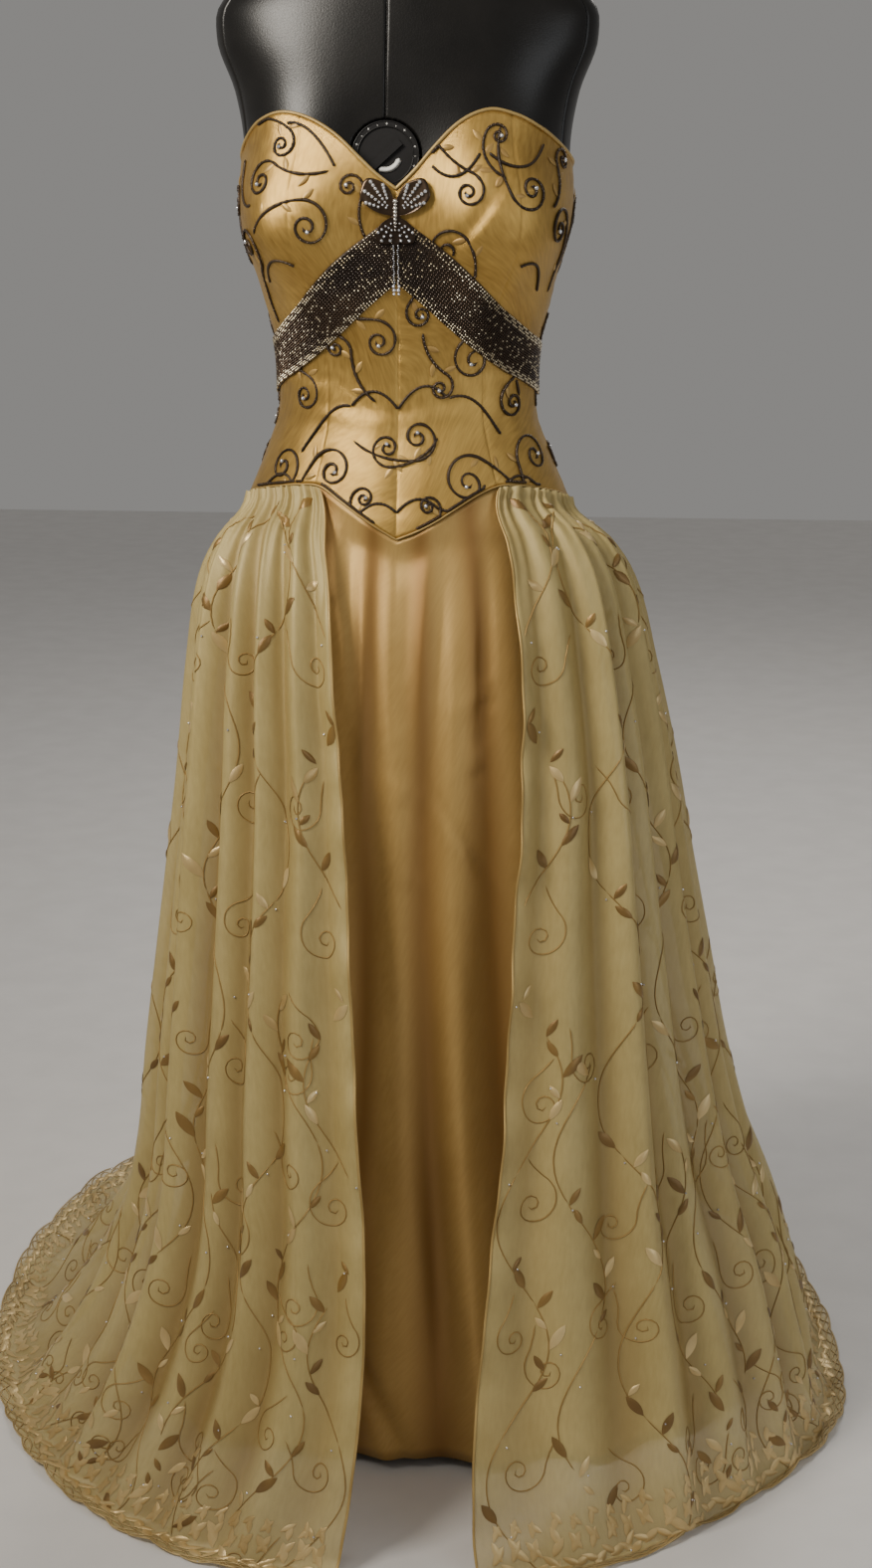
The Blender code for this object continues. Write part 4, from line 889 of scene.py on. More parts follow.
@dataclass
class Scrollwork:
    """The dark corded scrolls, small leaves and stones sewn on the bodice."""

    cord: float = 0.00140
    cord_bead: float = 0.00125
    grow: float = 1.2
    tail_grow: float = 1.4
    stone: float = 0.0021
    leaf: float = 0.0135
    back_rows: tuple[float, ...] = (1.240, 1.185, 1.130, 1.075, 1.020)
    back_step: float = 24.0

    def back_curls(self) -> list[Curl]:
        """Scrolls for the sides and back, in staggered rows, by angle (kept in the across field as degrees)."""
        made = []
        for row, height in enumerate(self.back_rows):
            for k, degrees in enumerate(np.arange(98 + 9 * (row % 2), 172, self.back_step)):
                for side in (-1, 1):
                    made.append(Curl(side * float(degrees), height + 0.008 * math.sin(3.1 * k + row), 0.0165
                                     + 0.003 * math.cos(2.3 * k + row), 90 + side * (40 * row + 70 * k),
                                     side * (1 if (row + k) % 2 else -1), 0.046, 0.25))
        return made

    def on_cloth(self, degrees: np.ndarray, height: np.ndarray, drawn: np.ndarray, out: float
                 ) -> tuple[np.ndarray, np.ndarray]:
        """Lays drawings on the bodice: across goes by the local metres in a degree, and up goes by height.

        Args:
            degrees: the angle of each drawing's centre.
            height: its height.
            drawn: drawings by points by 2, in metres.
            out: how far out from the cloth.

        Returns:
            The points and the cloth's normals there.
        """
        metre = np.linalg.norm(BODY.surface(degrees + 1, height) - BODY.surface(degrees - 1, height), axis=-1) / 2
        a = degrees[:, None] + drawn[..., 0] / metre[:, None]
        z = height[:, None] + drawn[..., 1]
        low, high = BODY.edge("basque", a) + 0.003, BODY.edge("neckline", a) - 0.003
        z = np.clip(z, low, high)
        covered = (np.abs(a) < 91) & (z > BODY.edge("band_lower", a)) & (z < BODY.edge("band_upper", a))
        return BODY.at(a, z, np.where(covered, -0.004, out)), BODY.normals(a, z)

    def build(self) -> None:
        """Makes the cords, leaves and stones."""
        front, back = FRONT_CURLS, self.back_curls()
        curls = [*front, *back]
        height = np.array([c.height for c in curls])
        across = np.array([c.across for c in curls])
        is_front = np.arange(len(curls)) < len(front)
        degrees = np.where(is_front, BODY.angle_at(np.where(is_front, across, 0), height), across)
        read = {k: np.array([getattr(c, k) for c in curls])
                for k in ("radius", "turns", "tail", "bend", "hand", "lean")}
        read["radius"], read["tail"] = read["radius"] * self.grow, read["tail"] * self.tail_grow
        drawn = scroll(**read)
        paths, ups = self.on_cloth(degrees, height, drawn, self.cord * 0.6)
        ends = np.array(SCALLOPS)
        share = np.linspace(0, 1, 56)[None, :]
        x = ends[:, :1] + (ends[:, 2:3] - ends[:, :1]) * share
        z = ends[:, 1:2] + (ends[:, 3:4] - ends[:, 1:2]) * share + ends[:, 4:] * 4 * share * (1 - share)
        middle = ends[:, :4].reshape(-1, 2, 2).mean(1)
        arcs, arc_ups = self.on_cloth(BODY.angle_at(middle[:, 0], middle[:, 1]), middle[:, 1],
                                      np.stack([x - middle[:, :1], z - middle[:, 1:]], -1), self.cord * 0.6)
        all_paths, all_ups = np.concatenate([paths, arcs]), np.concatenate([ups, arc_ups])
        distance = np.cumsum(np.linalg.norm(np.diff(all_paths, axis=1, prepend=all_paths[:, :1]), axis=-1), 1)
        width = self.cord * (1 + 0.16 * np.sin(distance * 2 * np.pi / 0.0036))
        mesh_object("bodice_corded_scrolls", *tubes(all_paths, all_ups, width, 0.9, 5), DARK_CORD, "beadwork")
        self.stones(paths, ups)
        self.leaves(degrees, height, drawn)
        log.info("scrollwork: %d scrolls and %d arcs", len(curls), len(ends))

    def stones(self, paths: np.ndarray, ups: np.ndarray) -> None:
        """A stone at each scroll's centre, and small beads strung along the cords."""
        centre, up = paths[:, -3], ups[:, -3]
        beads_on("bodice_stones", (8, 5), centre + 0.0009 * up, up, self.stone, STONE, "rhinestones")
        places, up = paths[:, 2::2].reshape(-1, 3), ups[:, 2::2].reshape(-1, 3)
        beads_on("bodice_cord_beads", (5, 3), places + 0.0004 * up, up, self.cord_bead, DARK_BEAD, "beadwork")

    def leaves(self, degrees: np.ndarray, height: np.ndarray, drawn: np.ndarray) -> None:
        """Pairs of small embroidered leaves beside each scroll's tail, close to the cloth's own colour."""
        grid, faces = almond(7, 5)
        flat = grid.reshape(-1, 3)
        parts = []
        for spot, turn in ((6, 50.0), (14, -50.0), (20, 55.0)):
            base, ahead = drawn[:, spot], unit(drawn[:, spot + 2] - drawn[:, spot])
            lean = math.radians(turn)
            along = np.stack([ahead[:, 0] * math.cos(lean) - ahead[:, 1] * math.sin(lean),
                              ahead[:, 0] * math.sin(lean) + ahead[:, 1] * math.cos(lean)], -1)
            side = np.stack([-along[:, 1], along[:, 0]], -1)
            shape = (base[:, None] + self.leaf * (flat[None, :, :1] * along[:, None]
                                                  + flat[None, :, 1:2] * side[:, None]))
            points, ups = self.on_cloth(degrees, height, shape, 0.0004)
            points = points + (0.0008 * flat[None, :, 2:3]) * ups
            parts.append(repeated(points, faces))
        mesh_object("bodice_leaves", *join(parts), LEAF_PALE, "bodice_satin")


SATIN_CREASES = (
    # across and height, tilt in degrees, half length, half width, height of the ridge
    (-0.066, 0.905, 84.0, 0.036, 0.0100, 0.0042), (-0.030, 0.780, 90.0, 0.100, 0.0068, 0.0046),
    (-0.050, 0.860, 96.0, 0.050, 0.0050, 0.0022), (0.026, 0.820, 88.0, 0.075, 0.0075, 0.0040),
    (0.072, 0.850, 91.0, 0.060, 0.0062, 0.0034), (0.005, 0.640, 92.0, 0.120, 0.0090, 0.0034),
    (0.076, 0.800, 36.0, 0.016, 0.0034, 0.0026), (0.082, 0.745, 28.0, 0.014, 0.0032, 0.0018),
    (0.006, 0.712, -18.0, 0.015, 0.0030, 0.0026), (0.074, 0.655, -57.0, 0.036, 0.0036, -0.0032),
    (0.020, 0.626, -25.0, 0.011, 0.0028, 0.0016), (-0.052, 0.520, 88.0, 0.130, 0.0100, 0.0034),
    (0.058, 0.450, 93.0, 0.120, 0.0110, 0.0030), (-0.018, 0.075, -66.0, 0.070, 0.0070, -0.0075),
    (-0.040, 0.250, 84.0, 0.080, 0.0090, 0.0030), (0.030, 0.220, 95.0, 0.090, 0.0090, 0.0030),
)


@dataclass
class SatinSkirt:
    """The satin skirt under the organza, as one fine surface over the three panels."""

    columns: int = 280
    rows: int = 90
    thickness: float = 0.0009

    def finer(self, fold: np.ndarray, fall: np.ndarray) -> np.ndarray:
        """Small soft folds and drag lines between the large folds, fading in below the seam."""
        fade = np.clip(fall / 0.12, 0, 1)
        return fade * (0.0008 * np.sin(2 * np.pi * (1.35 * fold + 0.5 * np.sin(3 * fall)))
                       + 0.0022 * wander(fold * 1.3, fall * 6, 0.4))

    def creased(self, points: np.ndarray) -> np.ndarray:
        """Drag folds on the front: each a ridge, a bell along and across its line, with a valley beside it."""
        out = np.zeros(points.shape[:2])
        front = points[..., 1] < 0
        for x, z, tilt, long, wide, high in SATIN_CREASES:
            lean = math.radians(tilt)
            dx, dz = points[..., 0] - x, points[..., 2] - z
            along, aside = dx * math.cos(lean) + dz * math.sin(lean), dz * math.cos(lean) - dx * math.sin(lean)
            out += front * high * bell(along, 0, long) * (bell(aside, 0, wide) - 0.45 * bell(aside, -2.1 * wide, wide))
        return out

    def build(self) -> None:
        """Makes the skirt."""
        fold = np.linspace(0, len(SATIN.folds) - 1, self.columns)[None, :]
        fall = (np.linspace(0, 1, self.rows) ** 1.15)[:, None]
        fold, fall = fold + 0 * fall, fall + 0 * fold
        plain = SATIN.surface(fold, fall)
        along, down = slopes_of(SATIN.surface, fold, fall, 0.05, 0.004)
        points = plain + (self.finer(fold, fall) + self.creased(plain))[..., None] * unit(np.cross(down, along))
        points[:, -1] = points[:, 0]
        # painted shade in the fold valleys, from each point's depth in its fold
        skirt = mesh_object("satin_skirt", points, grid_faces(*points.shape[:2])[:, ::-1], SKIRT_SATIN,
                            "skirt_satin", cloth_lengths(points), depth=painted_fold_shade(fold))
        solid = skirt.modifiers.new("cloth", "SOLIDIFY")
        solid.thickness, solid.offset = self.thickness, -1
        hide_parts("skirt_front", "skirt_back_left", "skirt_back_right")
        log.info("satin skirt made")


@dataclass
class Overskirt:
    """One side of the organza overskirt: the gathered cloth, its rolled edge and its embroidery."""

    shape: Organza
    label: str
    columns: int = 360
    rows: int = 110
    thickness: float = 0.0006
    seed: float = 0.0
    full_rise: float = 0.022
    scallops: float = 2.5
    scallop_depth: float = 0.007

    def finer(self, fold: np.ndarray, fall: np.ndarray) -> np.ndarray:
        """Gathers at the seam, which die out downwards, slight uneven folds further down, and the front edge's
        small waves, which die out across the cloth."""
        gathers = 0.0021 * np.exp(-fall / 0.06) * np.sin(2 * np.pi * (2.5 * fold + 0.3 * np.sin(3.3 * fold)))
        drift = np.clip((fall - 0.02) / 0.25, 0, 1) * (0.0030 * wander(fold * 2.3 + 2.5 * fall, fall * 4, self.seed)
                                                        + 0.0012 * wander(fold * 5.1, fall * 9, self.seed + 1))
        edge = 0.0042 * np.exp(-fold / 0.30) * np.clip(fall / 0.08, 0, 1) * (
            np.sin(2 * np.pi * fall * 7.5 + self.seed) + 0.5 * np.sin(2 * np.pi * fall * 17.0 + 2 * self.seed))
        return gathers + (drift + edge) * (1 - 0.6 * np.clip((fall - 0.85) / 0.1, 0, 1))

    def place(self, fold: np.ndarray, fall: np.ndarray, out: np.ndarray | float = 0.0) -> np.ndarray:
        """Points of the finished cloth, this far out from it."""
        fold, fall = np.broadcast_arrays(np.asarray(fold, float), np.asarray(fall, float))
        outward = self.outward(fold, fall)
        points = self.shape.surface(fold, fall) + self.finer(fold, fall)[..., None] * outward
        points[..., 2] = np.maximum(points[..., 2], 0.0008)
        return points + (np.asarray(out) + 0 * fall)[..., None] * outward

    def outward(self, fold: np.ndarray, fall: np.ndarray) -> np.ndarray:
        """The cloth's outward normals."""
        along, down = slopes_of(self.shape.surface, fold, fall, 0.02, 0.003)
        outward = self.shape.side * unit(np.cross(down, along))
        low = self.shape.surface(fold, fall)[..., 2] < 0.006
        outward[..., 2] = np.where(low, np.abs(outward[..., 2]) + 0.6, outward[..., 2])
        return unit(outward)

    def shade(self, fold: np.ndarray, fall: np.ndarray) -> np.ndarray:
        """How much painted shade each point gets: how deep in a fold it lies, less where the folds are low, with slow
        uneven patches.
        """
        high = np.clip(self.shape.rise(fold, fall) / self.full_rise, 0, 1.2) ** 1.6
        return np.clip(painted_fold_shade(fold) * high + 0.22 * wander(fold * 1.3, fall * 5, self.seed + 3), 0, 1)

    def hem(self, fold: np.ndarray) -> np.ndarray:
        """The fall at the scalloped hem: round bites between points one scallop apart."""
        return 1 - self.scallop_depth * (1 - np.abs(np.sin(np.pi * fold * self.scallops)) ** 0.7)

    def build(self) -> None:
        """Makes the cloth, its rolled edge and its embroidery."""
        fold = np.linspace(0, self.shape.count, self.columns)[None, :]
        fall = np.linspace(0, 1, self.rows)[:, None] * self.hem(fold)
        points = self.place(fold, fall)
        faces = grid_faces(*points.shape[:2])
        faces = faces[:, ::-1] if self.shape.side > 0 else faces
        # the cloth carries its share of painted shade for the finish to darken
        cloth = mesh_object("overskirt_cloth_" + self.label, points, faces, SHEER, "organza", cloth_lengths(points),
                            depth=self.shade(fold + 0 * fall, fall))
        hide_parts("overskirt_" + self.label)
        lengths = cloth_lengths(points)
        wide, long = float(lengths[:, -1, 0].max()), float(lengths[-1, :, 1].max())
        log.info("overskirt %s made: %.2f by %.2f m", self.label, wide, long)
        fall = np.linspace(0, 1, 260)
        edge = self.place(0 * fall + 0.004, fall, 0.0002)
        mesh_object("overskirt_edge_" + self.label, *tubes(edge[None], self.outward(0 * fall, fall)[None], 0.0013,
                                                           0.8, 8), EDGE_CORD, "organza")
        Embroidery(self).build()


@dataclass
class Embroidery:
    """The vines, leaves, stones and leaf border embroidered on one side of the overskirt.

    The pattern is drawn in metres on the flat cloth. A place on it is a thread line (a fold number), a distance
    across from that line and a distance down from the seam, and tables of the cloth's own lengths turn those into
    a fold number and a fall.
    """

    cloth: Overskirt
    step: float = 0.125
    stem_every: float = 1.42
    repeat: float = 0.255
    sway: float = 0.030
    line: float = 0.00075
    leaf: float = 0.0245
    border_leaf: float = 0.021
    loop: float = 0.021
    curl_points: int = 30
    border_points: int = 1500

    def __post_init__(self) -> None:
        """Works out the tables: metres down each thread line, and metres across one fold at each fall."""
        shape = self.cloth.shape
        self.lines = np.arange(0, shape.count + self.step / 2, self.step)
        self.falls = np.linspace(0, 1, 161)
        points = shape.surface(self.lines[None, :] + 0 * self.falls[:, None], self.falls[:, None] + 0 * self.lines)
        lengths = cloth_lengths(points)
        self.down = lengths[..., 1]
        half = int(0.5 / self.step)
        index = np.arange(len(self.lines))
        low, high = np.maximum(index - half, 0), np.minimum(index + half, len(index) - 1)
        self.across = (lengths[:, high, 0] - lengths[:, low, 0]) / (self.lines[high] - self.lines[low])
        self.long = float(self.down[-1].max())
        self.ruler = np.linspace(0, self.long, 400)
        self.inverse = np.stack([np.interp(self.ruler, column, self.falls) for column in self.down.T], 1)

    def locate(self, line: np.ndarray, across: np.ndarray, down: np.ndarray) -> tuple[np.ndarray, np.ndarray]:
        """The fold number and fall of places on the flat cloth.

        Args:
            line: the thread line that each place is measured from.
            across: metres across from it.
            down: metres down from the seam.

        Returns:
            The fold numbers and the falls.
        """
        column = np.clip(np.rint(line / self.step).astype(int), 0, len(self.lines) - 1)
        reach = np.clip(down / self.long, 0, 1) * (len(self.ruler) - 1)
        row = np.minimum(reach.astype(int), len(self.ruler) - 2)
        part = reach - row
        fall = self.inverse[row, column] * (1 - part) + self.inverse[row + 1, column] * part
        level = np.clip(np.rint(fall * 160).astype(int), 0, 160)
        fold = line + across / self.across[level, column]
        return fold, fall

    def lay(self, line: np.ndarray, drawn: np.ndarray, out: float) -> tuple[np.ndarray, np.ndarray, np.ndarray]:
        """Lays drawings (metres across and down) on the cloth, and says which of them lie wholly on it."""
        fold, fall = self.locate(line + 0 * drawn[..., 0], drawn[..., 0], drawn[..., 1])
        inside = ((fold > 0.03) & (fold < self.cloth.shape.count - 0.02) & (fall < self.cloth.hem(fold) - 0.002)
                  & (drawn[..., 1] > 0.012)).all(-1)
        fold = np.clip(fold, 0.0, self.cloth.shape.count)
        return self.cloth.place(fold, fall, out), self.cloth.outward(fold, fall), inside

    def stems(self) -> list[tuple[float, float, float]]:
        """Each stem's thread line, where it starts down the cloth and its phase. Lower down, where the cloth is
        wider, there are stems between the stems, and near the hem of the train there are more again."""
        count = self.cloth.shape.count
        main = [(k, 0.02, 0.0) for k in np.arange(0.42, count, self.stem_every)]
        lower = [(k, 0.60 + 0.10 * math.sin(2.4 * k + self.cloth.seed), 0.5)
                 for k in np.arange(0.42 + self.stem_every / 2, count, self.stem_every)]
        train = [(k, 0.95, 0.25) for k in np.arange(0.42 + self.stem_every / 4, count, self.stem_every / 2)
                 if k > 2.0]
        return [(float(line), start, phase + 0.37 * i) for i, (line, start, phase) in
                enumerate([*main, *lower, *train])]

    def sway_at(self, down: np.ndarray, phase: np.ndarray) -> np.ndarray:
        """How far a stem swings from its thread line: a sine of the distance down."""
        return self.sway * np.sin(2 * np.pi * (down / self.repeat + phase))

    def build(self) -> None:
        """Makes the vines, the leaves, the stones and the border."""
        vines, curls, leaves, stones = [], [], [], []
        hand = 1
        for line, start, phase in self.stems():
            pieces = np.arange(start, self.long - 0.02, self.repeat / 2)
            share = np.linspace(0, 1, 30)
            down = pieces[:, None] + share[None, :] * self.repeat / 2
            vines.append((line, np.stack([self.sway_at(down, phase), down], -1)))
            at = np.arange(start + 0.03, self.long - 0.03, self.repeat / 2)
            for k, place in enumerate(at):
                hand = -hand
                curls.append((line, float(self.sway_at(np.array(place), phase)) + hand * 0.034, place,
                              0.0245 + 0.004 * math.sin(2.7 * k + line), 90 + 40 * math.sin(k + line), hand))
            spots = np.arange(start + 0.010, self.long - 0.012, 0.0200)
            keep = np.sin(2 * np.pi * (spots / self.repeat + phase) + 0.6) > -0.35
            for k, place in enumerate(spots[keep]):
                direction = -90 + (1 if k % 2 else -1) * (38 + 9 * math.sin(1.9 * k + line))
                length = self.leaf * (0.85 + 0.25 * math.sin(k * 2.3 + line))
                leaves.append((line, float(self.sway_at(np.array(place), phase)), place, direction, length))
            stones.extend((line, float(self.sway_at(np.array(p), phase)) + 0.012 * math.sin(9 * p), p)
                          for p in np.arange(start + 0.05, self.long - 0.04, 0.085))
        self.lines_of(vines, curls)
        self.leaves_of(leaves)
        self.stones_of(stones)
        self.border()

    def lines_of(self, vines: list, curls: list) -> None:
        """The stems and curls as thin raised lines of stitching."""
        parts = []
        for line, drawn in vines:
            points, ups, inside = self.lay(np.full(drawn.shape[:2], line), drawn, self.line * 0.5)
            if inside.any():
                parts.append(tubes(points[inside], ups[inside], self.line, 0.6, 3))
        table = np.array(curls)
        drawn = scroll(table[:, 3], np.full(len(table), 1.25), np.full(len(table), 0.036), np.full(len(table), -0.3),
                       table[:, 5], table[:, 4], self.curl_points)
        drawn = drawn + table[:, None, 1:3]
        points, ups, inside = self.lay(np.repeat(table[:, :1], self.curl_points, 1), drawn, self.line * 0.5)
        parts.append(tubes(points[inside], ups[inside], self.line, 0.6, 3))
        mesh_object("vines_" + self.cloth.label, *join(parts), THREAD, "organza")
        log.info("vines %s: %d curls", self.cloth.label, int(inside.sum()))

    def leaf_points(self, table: np.ndarray, dome: float) -> tuple[np.ndarray, np.ndarray, np.ndarray]:
        """Leaves laid on the cloth, from rows of line, across, down, direction in degrees and length.

        Args:
            table: one row for each leaf.
            dome: how high a leaf's middle stands.

        Returns:
            The points of the leaves that lie inside the cloth, one leaf's faces, and which leaves lie inside.
        """
        grid, faces = almond(7, 5)
        flat = grid.reshape(-1, 3)
        turn = np.radians(table[:, 3])
        along = np.stack([np.cos(turn), np.sin(turn)], -1)
        side = np.stack([-along[:, 1], along[:, 0]], -1)
        drawn = table[:, None, 1:3] + table[:, 4, None, None] * (
            flat[None, :, :1] * along[:, None] + flat[None, :, 1:2] * side[:, None])
        points, ups, inside = self.lay(np.repeat(table[:, :1], len(flat), 1), drawn, 0.0005)
        points = points + dome * flat[None, :, 2:3] * ups
        return points[inside], faces if self.cloth.shape.side < 0 else faces[:, ::-1], inside

    def leaves_of(self, leaves: list) -> None:
        """The leaves in two tones of thread."""
        points, faces, inside = self.leaf_points(np.array(leaves), 0.0011)
        number = np.arange(len(points))
        pale = (number % 5 >= 3) | ((np.array(leaves)[inside, 2] > 1.0) & (number % 4 > 0))
        for tone, chosen, finish in (("bronze", ~pale, LEAF_BRONZE), ("gold", pale, LEAF_GOLD)):
            mesh_object(f"leaves_{tone}_{self.cloth.label}", *repeated(points[chosen], faces), finish, "organza")
        log.info("leaves %s: %d", self.cloth.label, len(points))

    def stones_of(self, stones: list) -> None:
        """Tiny stones scattered along the stems."""
        table = np.array(stones)
        points, ups, inside = self.lay(table[:, :1], table[:, None, 1:3], 0.0006)
        points, up = points[inside][:, 0], ups[inside][:, 0]
        across = unit(np.cross(np.array([0.0, 1.0, 0.3]) + 0 * up, up))
        mesh_object("sequins_" + self.cloth.label, *copies(bead(5, 3), points, across, np.cross(up, across), up,
                                                           0.0013), STONE, "rhinestones")

    def border(self) -> None:
        """The lacy border: a chain of loops along the scalloped hem, made of two crossing waves, with leaves that
        lean both ways out of the loops and a second, smaller chain inside it."""
        shape = self.cloth.shape
        fine = np.linspace(0.03, shape.count - 0.03, self.border_points)
        ends = np.interp(fine, self.lines, self.down[-1])
        near = self.cloth.place(fine, self.cloth.hem(fine))
        along = np.concatenate([[0], np.cumsum(np.linalg.norm(np.diff(near, axis=0), axis=-1))])
        parts = []
        for back, swing, radius in ((0.0015, 0.0, 0.0010), (0.0150, 0.0100, 0.0009), (0.0150, -0.0100, 0.0009),
                                    (0.0400, 0.0075, 0.0007), (0.0400, -0.0075, 0.0007)):
            drawn = back + swing * np.sin(np.pi * along / self.loop)
            fall = self.cloth.hem(fine) - drawn / np.maximum(ends, 0.5)
            path = self.cloth.place(fine, fall, 0.0007)
            parts.append(tubes(path[None], self.cloth.outward(fine, fall)[None], radius, 0.7, 3))
        mesh_object("border_cord_" + self.cloth.label, *join(parts), THREAD_GOLD, "organza")
        marks = np.arange(0.5, along[-1] / self.loop - 0.5)
        rows = []
        for depth, turn, shift, size in ((0.007, 62.0, 0.0, 1.0), (0.010, -58.0, 0.45, 0.95), (0.024, 28.0, 0.2, 1.05),
                                         (0.027, -30.0, 0.7, 1.0), (0.046, 12.0, 0.4, 0.8), (0.050, -48.0, 0.9, 0.75)):
            fold = np.interp((marks + shift) * self.loop, along, fine)
            down = np.interp(fold, self.lines, self.down[-1])
            rows.append(np.stack([fold, 0 * fold, down * self.cloth.hem(fold) - depth - 0.004,
                                  -90 + turn + 10 * np.sin(marks * 2.1), 0 * fold + self.border_leaf * size], -1))
        points, faces, _ = self.leaf_points(np.concatenate(rows), 0.0013)
        mesh_object("border_leaves_" + self.cloth.label, *repeated(points, faces), LEAF_GOLD, "organza")


@dataclass
class BeadedBand:
    """One half of the beadwork under the bust: dark beads with paler rows along both edges."""

    label: str
    start: float
    end: float
    pitch: float = 0.0024
    lift: float = 0.0021

    def build(self) -> None:
        """Makes the backing and the beads."""
        degrees = np.linspace(self.start, self.end, 120)[None, :]
        share = np.linspace(0, 1, 24)[:, None]
        low, high = BODY.edge("band_lower", degrees), BODY.edge("band_upper", degrees)
        z = low + (high - low) * share
        points = BODY.at(degrees + 0 * z, z, self.lift - 0.0008 * (2 * share - 1) ** 8)
        backing = mesh_object("band_backing_" + self.label, points, grid_faces(*points.shape[:2]), DARK_CORD,
                              "beadwork", cloth_lengths(points))
        solid = backing.modifiers.new("cloth", "SOLIDIFY")
        solid.thickness, solid.offset = 0.0012, -1
        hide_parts("beaded_band_" + self.label)
        length = float(cloth_lengths(points)[:, -1, 0].mean())
        across = float(np.linalg.norm(np.diff(points[:, 60], axis=0), axis=-1).sum())
        columns, rows = int(length / self.pitch), int(across / self.pitch)
        a = self.start + (self.end - self.start) * (np.arange(columns)[None, :] + 0.5) / columns
        row = np.arange(rows)[:, None]
        a = a + (row % 2 - 0.5) * 0.4 * (self.end - self.start) / columns
        share = (row + 0.5) / rows + 0 * a
        low, high = BODY.edge("band_lower", a), BODY.edge("band_upper", a)
        z = low + (high - low) * share
        light = (row < 3) | (row >= rows - 3)
        spark = np.sin(12.9898 * np.arange(columns)[None, :] + 78.233 * row) * 43758.5453 % 1.0 < 0.13
        checker = (((np.arange(columns)[None, :] // 2 + row) % 3 != 0) & light) | spark
        for name, chosen, finish, size in (("dark", ~checker, DARK_BEAD, 0.00115),
                                           ("light", checker, LIGHT_BEAD, 0.00120)):
            places = BODY.at(a[chosen], z[chosen], self.lift + 0.0004)
            up = BODY.normals(a[chosen], z[chosen])
            beads_on(f"band_beads_{name}_{self.label}", (5, 3), places, up, size, finish, "beadwork")
        log.info("beaded band %s: %d by %d beads", self.label, columns, rows)


